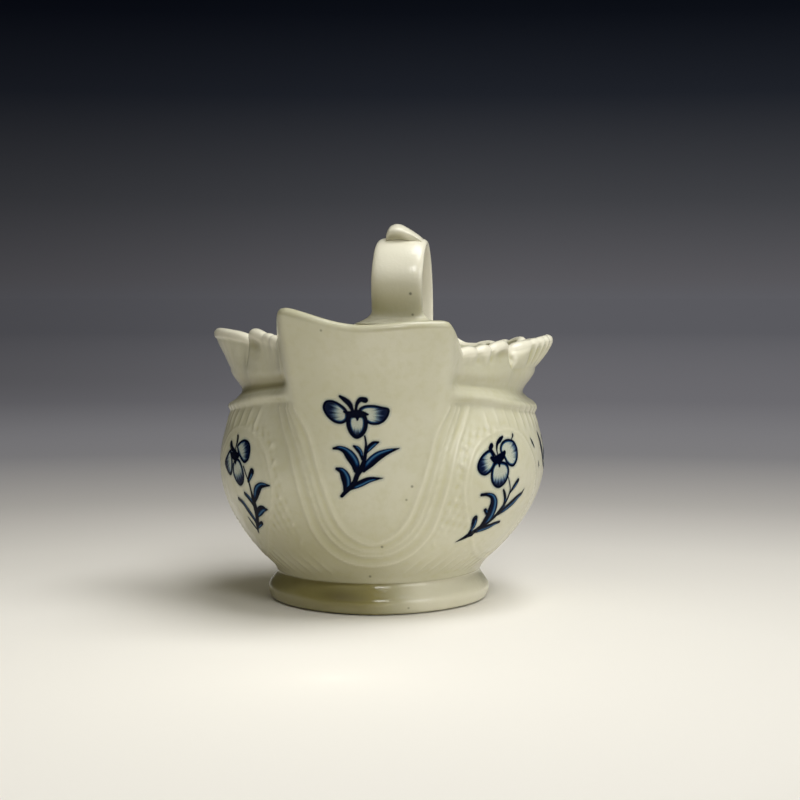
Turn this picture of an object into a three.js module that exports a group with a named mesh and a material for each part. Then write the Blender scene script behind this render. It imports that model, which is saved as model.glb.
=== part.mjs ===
import * as THREE from "three";

// Moulded porcelain cream boat. Millimetres, +Z up, the spout towards -Y and the handle towards +Y.

// Foot: a low splayed ring, luted on under the boat.
const footHeight = 6.2;
const footHalfWidth = 23;
const footHalfLength = 26.8;
const footOutlinePower = 1.85;
const footBulgeHeight = 2.9;
const footBottomInset = 1.1;
const footTopInset = 1.3;
const footRimWidth = 2.6;
const footTopWidth = 4.2;
const footTurn = THREE.MathUtils.degToRad(3);

// Boat: an oval bowl that swells to its belly and draws in to its neck. Its base and the foot
// stand a little to -X, as the boat sagged in the kiln.
const baseHalfWidth = 20;
const baseHalfLength = 24.6;
const baseShift = -0.9;
const bellyHeight = 29;
const bellyHalfWidth = 33.5;
const bellyHalfLength = 36.2;
const neckHeight = 42;
const neckHalfWidth = 29.7;
const neckHalfLength = 33;
const outlinePower = 2.15;
const bellyCurve = 2;
const neckCurve = 1.7;
const wall = 2.2;
const floorThickness = 3;

// Ring moulding under the neck, which climbs towards the spout and the handle.
const ringHeight = 40.2;
const ringClimb = 4.4;
const ringProud = 0.6;
const ringHalfHeight = 1.6;
const coveDepth = 0.5;
const coveHeight = 2.4;
const shellLineHeight = 46.4;
const shellLineShare = 0.35;
const shellCurve = 1.4;

// Spout: a broad upright panel that stands out from the front of the bowl.
const lipReach = 45.6;
const lipHeight = 57;
const lipHalfWidth = 16.4;
const lipShift = 0.4;
const lipCrown = 5.2;
const lipCornerRadius = 2.2;
const lipRiseCurve = 1.1;
const spoutRootHeight = 22;
const spoutRootHalfWidth = 14;
const spoutRootCornerRadius = 6;
const spoutRootFillet = 4;
const spoutSplay = 0.2;
const spoutLeanCurve = 1.6;
const spoutCornerRise = 1.3;
const spoutPeakRise = 0.8;
const spoutFallCurve = 1.1;

// Rim of the two shells: a large petal at mid side, with a lobe and two small lobes on either hand.
const petalHeight = 54.15;
const petalReach = 35.2;
const petalHalfAngle = 24;
const notchHeight = 51.2;
const notchInset = 1.8;
const lobeHeight = 53.8;
const lobeFootHeight = 52.2;
const lobeAngle = 17;
const smallLobeAngle = 8.5;
const smallLobeRise = 0.6;
const smallLobeFlare = 0.5;
const smallLobeCount = 2;
const dipHeight = 51.8;
const frontLift = 1.2;
const rearFlare = 3.8;
const backFlare = 2;
const backRimHeight = 56.6;
const backRimAngle = 28;
const kilnLean = 0.58;

// Handle: a flat strap that springs from the back rim and loops down to the belly.
const handleTopHeight = 75.2;
const handleReach = 52;
const strapWidth = 11.5;
const strapThickness = 3.1;
const strapSquareness = 0.55;
const strapForwardLean = 4;
const strapShift = 0.1;
const strapSway = 1.8;
const strapRootWidth = 16;
const strapRootHeight = 3;
const tailWidth = 9;
const tailHeight = 28;
const luteGap = 0.3;

// Thumb rest: a small scroll laid across the top of the strap, steep at its left and sloping off
// to its right.
const thumbRestStart = 0.23;
const thumbRestHeight = 3.4;
const thumbRestEdge = 0.3;
const thumbRestLength = 8.5;
const thumbRestLeft = -2.6;
const thumbRestRight = 6.5;
const thumbRestCrest = -0.3;
const thumbRestLeftCurve = 0.35;
const thumbRestRightCurve = 1.25;
const thumbRestOverhang = 1.4;

// Numbers of columns and rows in the meshes.
const lowerRows = 12;
const petalRows = 4;
const rimRows = 3;
const strapRows = 46;
const strapSides = 16;
const scrollRows = 10;
const scrollColumns = 12;

const { clamp, lerp, smoothstep, radToDeg, degToRad } = THREE.MathUtils;

// Angles run from the spout (0) over +X (90) to the handle (180), in degrees.
const along = (angle) => [Math.sin(degToRad(angle)), -Math.cos(degToRad(angle))];
const fromSpout = (angle) => Math.abs(angle > 180 ? angle - 360 : angle);
const isLeft = (angle) => angle > 180;

function oval(angle, halfWidth, halfLength, power) {
  const [x, y] = along(angle);
  const sum = Math.abs(x / halfWidth) ** power + Math.abs(y / halfLength) ** power;
  return sum ** (-1 / power);
}

function smoothMax(a, b, radius) {
  const near = Math.max(radius - Math.abs(a - b), 0) / radius;
  return Math.max(a, b) + (near * near * radius) / 4;
}

const smoothMin = (a, b, radius) => -smoothMax(-a, -b, radius);

// Half-width or half-length of the bowl at a height.
function swell(z, base, belly, neck) {
  if (z < bellyHeight) {
    const up = (z - footHeight) / (bellyHeight - footHeight);
    return belly - (belly - base) * (1 - up) ** bellyCurve;
  }
  const up = clamp((z - bellyHeight) / (neckHeight - bellyHeight), 0, 1);
  return belly - (belly - neck) * up ** neckCurve;
}

function bowlRadius(angle, z) {
  const halfWidth = swell(z, baseHalfWidth, bellyHalfWidth, neckHalfWidth);
  const halfLength = swell(z, baseHalfLength, bellyHalfLength, neckHalfLength);
  return oval(angle, halfWidth, halfLength, outlinePower);
}

// Half-width of the lip on the angle's own side: the spout stands a little to +X.
const lipHalf = (angle) => lipHalfWidth + (isLeft(angle) ? -lipShift : lipShift);

// Distance from the boat's axis to the spout's front face or side face.
function spoutRadius(angle, z) {
  const side = degToRad(fromSpout(angle));
  const lip = lipHalf(angle);
  const up = clamp((z - bellyHeight) / (lipHeight - bellyHeight), -0.3, 1.2);
  const grown = Math.sign(up) * Math.abs(up) ** spoutLeanCurve;
  const reach = lerp(bellyHalfLength, lipReach, grown);
  const halfWidth = lerp(spoutRootHalfWidth, lip, clamp(up, 0, 1) ** 0.5);
  const bend = lipCrown / lip ** 2;
  const sine = Math.sin(side);
  const cosine = Math.cos(side);
  const steep = 4 * bend * sine * sine;
  const front = (2 * reach) / (cosine + Math.sqrt(cosine * cosine + steep * reach));
  const cornerReach = reach - lipCrown;
  const flank = (halfWidth + spoutSplay * cornerReach) / (sine + spoutSplay * cosine);
  return smoothMin(front, flank, lerp(spoutRootCornerRadius, lipCornerRadius, clamp(up, 0, 1)));
}

const cornerAngle = (angle) => radToDeg(Math.atan2(lipHalf(angle), lipReach - lipCrown));
const notchAngle = 90 - petalHalfAngle;
const lobeStart = notchAngle - lobeAngle;
const dipAngle = lobeStart - smallLobeCount * smallLobeAngle;

// Half the angle that the handle's root takes up on the back rim.
const rootAngle = radToDeg(Math.atan2(strapRootWidth / 2, neckHalfLength + backFlare));

// The rim at an angle on the shells: its height before any lean, and how far it flares.
function scallop(angle) {
  const side = fromSpout(angle);
  const folded = Math.min(side, 180 - side);
  const arch = (t) => Math.sin(Math.PI * clamp(t, 0, 1));
  if (folded >= notchAngle) {
    const up = arch(0.5 + (folded - 90) / (2 * petalHalfAngle));
    const flare = petalReach - neckHalfWidth;
    return {
      height: lerp(notchHeight, petalHeight, Math.sqrt(up)),
      flare: lerp(-notchInset, flare, up),
    };
  }
  if (folded >= lobeStart) {
    const t = (folded - lobeStart) / lobeAngle;
    const foot = lerp(lobeFootHeight, notchHeight, t);
    const up = Math.sqrt(arch(t ** 1.2));
    return { height: lerp(foot, lobeHeight, up), flare: -notchInset * smoothstep(t, 0, 1) };
  }
  const step = clamp((folded - dipAngle) / smallLobeAngle, 0, smallLobeCount);
  const up = Math.sqrt(arch(step % 1));
  const foot = lerp(dipHeight, lobeFootHeight, step / smallLobeCount);
  return { height: foot + smallLobeRise * up, flare: smallLobeFlare * up };
}

function rimHeight(angle) {
  const side = fromSpout(angle);
  const sine = Math.sin(degToRad(side)) * (isLeft(angle) ? -1 : 1);
  const lean = -kilnLean * sine * (1 + Math.cos(degToRad(side))) ** 2;
  const lift = frontLift * (1 - smoothstep(side, notchAngle, 180 - lobeStart));
  const corner = cornerAngle(angle);
  const peak = lipHeight + spoutCornerRise + (isLeft(angle) ? spoutPeakRise : 0);
  if (side <= corner) {
    const near = (side / corner) ** lipRiseCurve;
    return lerp(lipHeight, peak, near) + lean * near;
  }
  if (side < dipAngle) {
    const t = (side - corner) / (dipAngle - corner);
    return lerp(peak, dipHeight + lift, t ** spoutFallCurve) + lean;
  }
  if (side > 180 - dipAngle) {
    const rise = smoothstep(side, 180 - backRimAngle, 180 - rootAngle);
    return lerp(dipHeight, backRimHeight, rise) + lean;
  }
  return scallop(angle).height + lift + lean;
}

function rimFlare(angle) {
  const side = fromSpout(angle);
  if (side < dipAngle) return 0;
  const rearFull = 180 - notchAngle + lobeAngle / 2;
  const back = smoothstep(side, rearFull, 180);
  const rear = lerp(rearFlare, backFlare, back) * smoothstep(side, 90, rearFull);
  return side > 180 - dipAngle ? rear : scallop(angle).flare + rear;
}

// The ring's height climbs from mid side to the spout and the handle.
function ringLine(angle) {
  const climb = Math.abs(Math.cos(degToRad(angle))) ** 1.6;
  return ringHeight + ringClimb * climb;
}

const shellLine = (angle) =>
  Math.max(shellLineHeight, ringLine(angle) + ringHalfHeight + coveHeight);

// Height of a level: 0 foot, 1 under the ring, 2 over the ring, 3 shell line, 4 rim.
function heightAt(angle, level) {
  const ring = ringLine(angle);
  const stops = [
    footHeight,
    ring - ringHalfHeight,
    ring + ringHalfHeight,
    shellLine(angle),
    rimHeight(angle) - wall / 2,
  ];
  const step = Math.min(Math.floor(level), stops.length - 2);
  return lerp(stops[step], stops[step + 1], level - step);
}

// A point of the outer face. The ring and the cove are left off where plain is true.
function outerPoint(angle, level, plain = false) {
  const z = heightAt(angle, level);
  const spout = smoothstep(z, spoutRootHeight, ringHeight - ringHalfHeight);
  const bowl = bowlRadius(angle, z);
  const panel = fromSpout(angle) < 90 ? smoothMax(bowl, spoutRadius(angle, z), spoutRootFillet) : bowl;
  let radius = lerp(bowl, panel, spout);
  const opened = 1 - (1 - clamp(level - 3, 0, 1)) ** shellCurve;
  const share = level < 3 ? shellLineShare * smoothstep(level, 2, 3) : lerp(shellLineShare, 1, opened);
  radius += rimFlare(angle) * share;
  if (!plain) {
    const onShell = smoothstep(fromSpout(angle), cornerAngle(angle), dipAngle);
    const ring = Math.sin(Math.PI * clamp(level - 1, 0, 1)) ** 2;
    const cove = Math.sin(Math.PI * clamp(level - 2, 0, 1)) ** 2;
    radius += onShell * (ringProud * ring - coveDepth * cove);
  }
  const [x, y] = along(angle);
  const shift = baseShift * (1 - clamp((z - footHeight) / (bellyHeight - footHeight), 0, 1)) ** 2;
  return new THREE.Vector3(x * radius + shift, y * radius, z);
}

// The outward normal and the upward direction along the face.
function faceFrame(angle, level) {
  const over = outerPoint(angle, Math.min(level + 0.05, 4), true);
  const under = outerPoint(angle, Math.max(level - 0.05, 0), true);
  const up = over.sub(under).normalize();
  const round = outerPoint(angle + 1.5, level, true).sub(outerPoint(angle - 1.5, level, true));
  return { up, out: round.cross(up).normalize() };
}

function innerPoint(angle, level) {
  return outerPoint(angle, level, true).addScaledVector(faceFrame(angle, level).out, -wall);
}

// Columns stand closer at the spout's corners and at the notches, and one stands on each.
function columnsOf(side) {
  const corner = cornerAngle(side);
  const front = [0, corner - 4, corner, corner + 4, dipAngle];
  const lobes = [dipAngle + smallLobeAngle, lobeStart, notchAngle - 3, notchAngle, notchAngle + 4];
  const mirrored = [...lobes.reverse(), dipAngle].map((angle) => 180 - angle);
  const stops = [...front, ...lobes.reverse(), 90, ...mirrored, 180];
  const counts = [4, 2, 2, 3, 4, 4, 5, 2, 2, 6, 6, 2, 2, 5, 3, 3, 6];
  const angles = [];
  counts.forEach((count, i) => {
    for (let j = 0; j < count; j++) angles.push(lerp(stops[i], stops[i + 1], j / count));
  });
  return angles;
}

function boatColumns() {
  const left = columnsOf(270).slice(1).reverse();
  return [...columnsOf(90), 180, ...left.map((angle) => 360 - angle)];
}

// Rings of points joined into one closed surface. Ends close on their middle, or the last ring
// joins the first.
function skin(rings, closed) {
  const columns = rings[0].length;
  const points = rings.flat();
  const faces = [];
  const last = closed ? rings.length : rings.length - 1;
  for (let i = 0; i < last; i++) {
    const low = i * columns;
    const high = ((i + 1) % rings.length) * columns;
    for (let j = 0; j < columns; j++) {
      const next = (j + 1) % columns;
      faces.push(low + j, low + next, high + next, low + j, high + next, high + j);
    }
  }
  if (!closed) {
    const middle = (ring) => ring.reduce((sum, p) => sum.add(p), new THREE.Vector3()).divideScalar(columns);
    const first = points.push(middle(rings[0])) - 1;
    const end = points.push(middle(rings.at(-1))) - 1;
    const top = (rings.length - 1) * columns;
    for (let j = 0; j < columns; j++) {
      const next = (j + 1) % columns;
      faces.push(first, next, j, end, top + j, top + next);
    }
  }
  const geometry = new THREE.BufferGeometry().setFromPoints(points);
  geometry.setIndex(faces);
  geometry.computeVertexNormals();
  return geometry;
}

function bodyGeometry() {
  const angles = boatColumns();
  const ring = (make) => angles.map(make);
  const rings = [];
  for (let i = 0; i <= lowerRows; i++) {
    const level = (i / lowerRows) ** 1.15;
    rings.push(ring((angle) => outerPoint(angle, level)));
  }
  for (const level of [1.3, 1.7, 2, 2.5, 3]) rings.push(ring((angle) => outerPoint(angle, level)));
  for (let i = 1; i <= petalRows; i++) {
    rings.push(ring((angle) => outerPoint(angle, 3 + i / petalRows)));
  }
  for (let i = 1; i <= rimRows; i++) {
    const turn = (Math.PI * i) / (rimRows + 1);
    rings.push(
      ring((angle) => {
        const { up, out } = faceFrame(angle, 4);
        const middle = outerPoint(angle, 4, true).addScaledVector(out, -wall / 2);
        middle.addScaledVector(out, (wall / 2) * Math.cos(turn));
        return middle.addScaledVector(up, (wall / 2) * Math.sin(turn));
      }),
    );
  }
  for (const level of [4, 3.5, 3, 2, 1, 0.8, 0.6, 0.4, 0.25, 0.14]) {
    rings.push(ring((angle) => innerPoint(angle, level)));
  }
  for (const share of [0.75, 0.4]) {
    rings.push(
      ring((angle) => {
        const edge = innerPoint(angle, 0.14);
        return new THREE.Vector3(edge.x * share, edge.y * share, footHeight + floorThickness);
      }),
    );
  }
  return skin(rings, false);
}

function footGeometry() {
  const outline = (angle, inset) =>
    oval(angle, footHalfWidth, footHalfLength, footOutlinePower) - inset;
  const section = [
    [footBottomInset, 0],
    [footBottomInset * 0.3, footBulgeHeight * 0.4],
    [0, footBulgeHeight],
    [footTopInset * 0.25, lerp(footBulgeHeight, footHeight, 0.5)],
    [footTopInset * 0.7, lerp(footBulgeHeight, footHeight, 0.85)],
    [footTopInset, footHeight],
    [footTopInset + footTopWidth, footHeight],
    [footBottomInset + footRimWidth, 0],
  ];
  const angles = Array.from({ length: 72 }, (_, i) => i * 5);
  const rings = section.map(([inset, z]) =>
    angles.map((angle) => {
      const [x, y] = along(angle);
      const radius = outline(angle, inset);
      return new THREE.Vector3(x * radius, y * radius, z);
    }),
  );
  return skin(rings, true);
}

// Middle line of the strap, from the back rim over the loop to the belly.
function strapPath() {
  const rootY = outerPoint(180, 4, true).y - wall / 2;
  const rootZ = backRimHeight + luteGap;
  const topZ = handleTopHeight - strapThickness / 2;
  const backY = handleReach - strapThickness / 2;
  const tailLevel = (tailHeight - footHeight) / (ringLine(180) - ringHalfHeight - footHeight);
  const bellyY = outerPoint(180, tailLevel).y + luteGap;
  const frontY = rootY - strapForwardLean;
  const rise = topZ - rootZ;
  const drop = topZ - tailHeight;
  const points = [
    [rootY, rootZ],
    [rootY, rootZ + 1],
    [rootY - strapForwardLean * 0.35, rootZ + rise * 0.22],
    [frontY, rootZ + rise * 0.6],
    [frontY + strapForwardLean * 0.45, rootZ + rise * 0.9],
    [lerp(frontY, backY, 0.36), topZ],
    [lerp(frontY, backY, 0.75), topZ - rise * 0.22],
    [backY - 0.4, topZ - drop * 0.27],
    [backY - 0.2, topZ - drop * 0.5],
    [lerp(bellyY, backY, 0.72), topZ - drop * 0.76],
    [lerp(bellyY, backY, 0.38), topZ - drop * 0.93],
    [bellyY + 1.5, tailHeight + 0.1],
    [bellyY, tailHeight],
  ];
  const sway = (i) => strapShift + strapSway * smoothstep(i, 1, 9);
  return new THREE.CatmullRomCurve3(points.map(([y, z], i) => new THREE.Vector3(sway(i), y, z)));
}

// The strap's own directions at a share of its length: across its face and out of the loop.
function strapFrame(path, share) {
  const middle = path.getPointAt(share);
  const onward = path.getTangentAt(share);
  const outward = new THREE.Vector3(0, -onward.z, onward.y).normalize();
  const root = strapRootWidth - strapWidth;
  const taper = strapWidth - tailWidth;
  const flare = Math.max(1 - (share * path.getLength()) / strapRootHeight, 0) ** 2;
  const width = strapWidth + root * flare - taper * share ** 2;
  return { middle, outward, width };
}

function handleGeometry(path) {
  const rings = [];
  for (let i = 0; i <= strapRows; i++) {
    const { middle, outward, width } = strapFrame(path, i / strapRows);
    const ring = [];
    for (let j = 0; j < strapSides; j++) {
      const turn = (2 * Math.PI * (j + 0.5)) / strapSides;
      const round = (v) => Math.sign(v) * Math.abs(v) ** strapSquareness;
      const point = middle.clone().addScaledVector(outward, (strapThickness / 2) * round(Math.sin(turn)));
      point.x += (width / 2) * round(Math.cos(turn));
      ring.push(point);
    }
    rings.push(ring.reverse());
  }
  return skin(rings, false);
}

// The scroll lies on the strap's outer face, from its front edge towards the top of the loop.
function thumbRestGeometry(path) {
  const length = path.getLength();
  const back = thumbRestStart + thumbRestLength / length;
  const strapPoint = (share, x, height) => {
    const { middle, outward } = strapFrame(path, share);
    middle.addScaledVector(outward, strapThickness / 2 + luteGap + height);
    middle.x = x;
    return middle;
  };
  const profile = (x) => {
    const left = clamp((x - thumbRestLeft) / (thumbRestCrest - thumbRestLeft), 0, 1);
    const right = clamp((thumbRestRight - x) / (thumbRestRight - thumbRestCrest), 0, 1);
    if (x < thumbRestCrest) return Math.sin((Math.PI / 2) * left) ** thumbRestLeftCurve;
    return 1 - (1 - right) ** thumbRestRightCurve;
  };
  const rings = [];
  for (let i = 0; i <= scrollRows; i++) {
    const t = i / scrollRows;
    const share = lerp(thumbRestStart, back, t);
    const height = thumbRestHeight * Math.sin(Math.PI * lerp(0.3, 0.97, t)) ** 0.8;
    const ring = [];
    for (let j = 0; j <= scrollColumns; j++) {
      const x = lerp(thumbRestLeft, thumbRestRight, j / scrollColumns);
      ring.push(strapPoint(share, x, 0));
    }
    for (let j = scrollColumns; j >= 0; j--) {
      const x = lerp(thumbRestLeft, thumbRestRight, j / scrollColumns);
      const high = lerp(thumbRestEdge, height, profile(x));
      const point = strapPoint(share, x, high);
      point.y -= thumbRestOverhang * (1 - t) ** 2 * (high / thumbRestHeight);
      ring.push(point);
    }
    rings.push(ring.reverse());
  }
  return skin(rings, false);
}

const glaze = () => new THREE.MeshStandardMaterial({ color: 0xd0cbb6, roughness: 0.12, metalness: 0 });

function piece(name, geometry) {
  const mesh = new THREE.Mesh(geometry, glaze());
  mesh.name = name;
  return mesh;
}

const strap = strapPath();
const foot = piece("foot", footGeometry());
foot.position.x = baseShift;
foot.rotation.z = footTurn;

const boat = new THREE.Group();
boat.add(
  piece("body", bodyGeometry()),
  foot,
  piece("handle", handleGeometry(strap)),
  piece("thumb_rest", thumbRestGeometry(strap)),
);

// The origin is the middle of the boat's outline on the table it stands on.
const middle = new THREE.Box3().setFromObject(boat, true).getCenter(new THREE.Vector3());
boat.position.set(-middle.x, -middle.y, 0);

const creamBoat = new THREE.Group();
creamBoat.add(boat);

export default creamBoat;
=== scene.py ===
import math

import bpy
import numpy as np
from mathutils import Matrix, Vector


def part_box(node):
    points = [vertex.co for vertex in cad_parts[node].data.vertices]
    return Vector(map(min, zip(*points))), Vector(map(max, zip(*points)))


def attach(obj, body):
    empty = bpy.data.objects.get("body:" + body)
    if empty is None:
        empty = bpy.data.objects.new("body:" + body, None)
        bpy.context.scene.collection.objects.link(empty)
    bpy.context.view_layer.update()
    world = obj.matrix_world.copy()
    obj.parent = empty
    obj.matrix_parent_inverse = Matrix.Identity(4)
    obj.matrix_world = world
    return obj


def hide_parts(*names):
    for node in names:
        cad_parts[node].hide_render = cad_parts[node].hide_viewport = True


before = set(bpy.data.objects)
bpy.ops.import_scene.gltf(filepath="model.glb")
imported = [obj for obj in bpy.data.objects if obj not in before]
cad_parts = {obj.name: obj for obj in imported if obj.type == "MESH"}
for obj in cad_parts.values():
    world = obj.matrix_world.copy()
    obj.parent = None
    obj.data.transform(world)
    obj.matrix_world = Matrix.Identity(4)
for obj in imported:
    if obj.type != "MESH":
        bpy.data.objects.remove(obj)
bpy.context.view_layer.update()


def shown(name, data):
    """A new object in the scene that shows the data."""
    made = bpy.data.objects.new(name, data)
    bpy.context.scene.collection.objects.link(made)
    return made


# View: a long lens a hand's breadth and a half above the table, a little to the spout's right.
# Its place was solved from the rim, the foot and the handle in the photograph.
camera_place = (0.0362, -0.3937, 0.0623)
camera_lens = 84.9
camera_pitch = 3.13
camera_heading = 4.78

view_camera = bpy.data.cameras.new("view_camera")
view_camera.lens = camera_lens
view_camera.sensor_width = 36
camera = shown("view_camera", view_camera)
camera.location = camera_place
camera.rotation_euler = (math.radians(90 - camera_pitch), 0, math.radians(camera_heading))
bpy.context.scene.camera = camera
bpy.context.scene.view_settings.view_transform = "Standard"


# Floor: a sweep of pale paper, painted pale in front of the boat and dark behind it as a painted fall-off of
# light, and glowing with that painted tone far off.
# The light on the boat is soft: a strong broad lamp overhead, weaker ones on the right and in
# front, a faint one on the left, and a weak even fill.
class Wire:
    """A socket of a node tree. Arithmetic on wires adds Math nodes."""

    def __init__(self, tree, socket):
        self.tree = tree
        self.socket = socket

    def node(self, kind, settings=None, inputs=None):
        return add_node(self.tree, kind, settings, inputs)

    def maths(self, operation, *others):
        values = dict(enumerate([self, *others]))
        return self.node("ShaderNodeMath", {"operation": operation}, values)["Value"]

    def __add__(self, other):
        return self.maths("ADD", other)

    __radd__ = __add__

    def __sub__(self, other):
        return self.maths("SUBTRACT", other)

    def __rsub__(self, other):
        return (self * -1).maths("ADD", other)

    def __mul__(self, other):
        return self.maths("MULTIPLY", other)

    __rmul__ = __mul__

    def __truediv__(self, other):
        return self.maths("DIVIDE", other)

    def __pow__(self, other):
        return self.maths("POWER", other)

    def __abs__(self):
        return self.maths("ABSOLUTE")

    def at_least(self, other):
        return self.maths("MAXIMUM", other)

    def at_most(self, other):
        return self.maths("MINIMUM", other)

    def fade(self, low, high):
        """0 where the value is low, 1 where it is high, and smooth between."""
        settings = {"interpolation_type": "SMOOTHSTEP"}
        inputs = {"Value": self, "From Min": low, "From Max": high}
        return self.node("ShaderNodeMapRange", settings, inputs)["Result"]

    def vector(self, operation, *others):
        values = dict(enumerate([self, *others]))
        return self.node("ShaderNodeVectorMath", {"operation": operation}, values)["Vector"]

    def length(self):
        return self.node("ShaderNodeVectorMath", {"operation": "LENGTH"}, {0: self})["Value"]

    def parts(self):
        """The outputs X, Y and Z of a vector."""
        return self.node("ShaderNodeSeparateXYZ", None, {0: self})


class Outputs:
    """The outputs of one node, as wires, by name."""

    def __init__(self, tree, made):
        self.tree = tree
        self.made = made

    def __getitem__(self, name):
        return Wire(self.tree, self.made.outputs[name])


def add_node(tree, kind, settings=None, inputs=None):
    """A node of a type, with its settings made first, and then the values or wires of its inputs."""
    made = tree.nodes.new(kind)
    for name, value in (settings or {}).items():
        if name == "stops":
            elements = made.color_ramp.elements
            while len(elements) < len(value):
                elements.new(1)
            for element, (position, colour) in zip(elements, value):
                element.position = position
                element.color = colour
        else:
            setattr(made, name, value)
    for name, value in (inputs or {}).items():
        socket = made.inputs[name]
        if isinstance(value, Wire):
            tree.links.new(value.socket, socket)
        else:
            socket.default_value = value
    return Outputs(tree, made)


def linear(red, green, blue):
    """The colour that shows as these values of 0 to 255."""
    values = [v / 255 for v in (red, green, blue)]
    return (*[v / 12.92 if v < 0.04045 else ((v + 0.055) / 1.055) ** 2.4 for v in values], 1)


def new_material(name):
    """An empty node material, and its tree."""
    material = bpy.data.materials.new(name)
    material.use_nodes = True
    tree = material.node_tree
    tree.nodes.clear()
    return material, tree


def mix_colours(tree, share, first, second):
    """The first colour, with a share of the second mixed in."""
    inputs = {0: share, 6: first, 7: second}
    made = add_node(tree, "ShaderNodeMix", {"data_type": "RGBA"}, inputs)
    return Wire(tree, made.made.outputs[2])


def ramp_colour(tree, share, stops):
    """The colour at a share of the way along stops, which are shares and 0 to 255 colours."""
    settings = {"stops": [(at, linear(*colour)) for at, colour in stops]}
    return add_node(tree, "ShaderNodeValToRGB", settings, {"Fac": share})["Color"]


def point_value(tree, name):
    """A value that the mesh keeps on its points."""
    return add_node(tree, "ShaderNodeAttribute", {"attribute_name": name})["Fac"]


floor_reach = 60
floor_centre = (0, -0.09)
floor_falloff_stops = [
    (0, (254, 250, 240)),
    (0.085, (229, 226, 219)),
    (0.17, (210, 207, 201)),
    (0.275, (171, 168, 165)),
    (0.45, (128, 127, 129)),
    (0.835, (107, 106, 110)),
    (3, (90, 90, 95)),
]
floor_end = floor_falloff_stops[-1][0]
floor_glow = (0.2, 0.6)
dim_span, dim_share, dim_reach, dim_colour = (0, 0.35), 0.4, (0.1, 1.2), (0, 0, 4)


def dim_to_left(heading):
    """How much darker the studio is in a direction, by the sideways part of that direction."""
    return (heading * -1).fade(*dim_span) * dim_share


floor_mesh = bpy.data.meshes.new("paper_sweep")
floor_corners = [(-1, -1, 0), (1, -1, 0), (1, 1, 0), (-1, 1, 0)]
floor_points = [tuple(floor_reach * c for c in corner) for corner in floor_corners]
floor_mesh.from_pydata(floor_points, [], [(0, 1, 2, 3)])
floor = shown("paper_sweep", floor_mesh)

paper, tree = new_material("paper_sweep")
place = add_node(tree, "ShaderNodeTexCoord")["Object"]
distance = place.vector("SUBTRACT", (*floor_centre, 0)).length()
tone = (distance / floor_end).at_most(1) ** 0.5
# Painted fall-off of light: the paper's colour darkens with distance from the boat.
paper_falloff_stops = [((metres / floor_end) ** 0.5, colour) for metres, colour in floor_falloff_stops]
paper_painted_shade = ramp_colour(tree, tone, paper_falloff_stops)
heading = place.vector("SUBTRACT", camera_place).vector("NORMALIZE").parts()
# Painted shade: the paper is painted darker towards the left, more so further from the boat.
painted_left_shade = dim_to_left(heading["X"]) * distance.fade(*dim_reach)
paper_painted_shade = mix_colours(tree, painted_left_shade, paper_painted_shade, linear(*dim_colour))
lit = add_node(tree, "ShaderNodeBsdfDiffuse", None, {"Color": paper_painted_shade})["BSDF"]
# Far off, the paper glows with its painted tone instead of being lit by the lamps.
glow = add_node(tree, "ShaderNodeEmission", None, {"Color": paper_painted_shade})["Emission"]
either = {0: distance.fade(*floor_glow), 1: lit, 2: glow}
surface = add_node(tree, "ShaderNodeMixShader", None, either)["Shader"]
add_node(tree, "ShaderNodeOutputMaterial", None, {"Surface": surface})
floor_mesh.materials.append(paper)

# The dark above the sweep, seen by the camera and in the glaze, and an even light for the rest.
sky_stops = [
    (0, (91, 91, 96)),
    (0.06, (87, 86, 90)),
    (0.32, (63, 64, 68)),
    (0.66, (30, 33, 40)),
    (0.92, (12, 15, 22)),
    (1, (9, 12, 18)),
]
sky_top = 0.16
even_light, even_colour = 0.12, (1, 0.92, 0.62, 1)

world = bpy.data.worlds.new("studio")
world.use_nodes = True
bpy.context.scene.world = world
tree = world.node_tree
tree.nodes.clear()
direction = add_node(tree, "ShaderNodeTexCoord")["Generated"]
heading = direction.parts()
height = (heading["Z"] / sky_top).at_least(0).at_most(1)
dark = ramp_colour(tree, height, sky_stops)
dark = mix_colours(tree, dim_to_left(heading["X"]), dark, linear(*dim_colour))
paths = add_node(tree, "ShaderNodeLightPath")
seen = paths["Is Camera Ray"].at_least(paths["Is Glossy Ray"]).at_least(paths["Is Transmission Ray"])
backdrop = add_node(tree, "ShaderNodeBackground", None, {"Color": dark, "Strength": 1})["Background"]
even = add_node(tree, "ShaderNodeBackground", None, {"Color": even_colour, "Strength": even_light})
either = {0: seen, 1: even["Background"], 2: backdrop}
surface = add_node(tree, "ShaderNodeMixShader", None, either)["Shader"]
add_node(tree, "ShaderNodeOutputWorld", None, {"Surface": surface})


lamp_target = (0, 0, 0.03)


def soft_lamp(name, place, size, power):
    """An area lamp of a size in metres, turned towards the boat."""
    light = bpy.data.lights.new(name, "AREA")
    light.shape = "RECTANGLE"
    light.size, light.size_y = size
    light.energy = power
    lamp = shown(name, light)
    aim = np.array(lamp_target) - np.array(place)
    tilt, turn = math.acos(-aim[2] / np.linalg.norm(aim)), math.atan2(aim[1], aim[0]) - math.pi / 2
    lamp.location = place
    lamp.rotation_euler = (tilt, 0, turn)


soft_lamp("window_right", (1.1, -0.6, 0.4), (0.7, 0.6), 4.1)
soft_lamp("window_front", (0.3, -1.0, 0.8), (0.34, 0.3), 3.5)
soft_lamp("window_top", (0.4, -0.08, 1.15), (0.7, 0.8), 12.0)
soft_lamp("window_left", (-0.5, -0.6, 0.9), (0.8, 0.8), 0.7)


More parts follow.
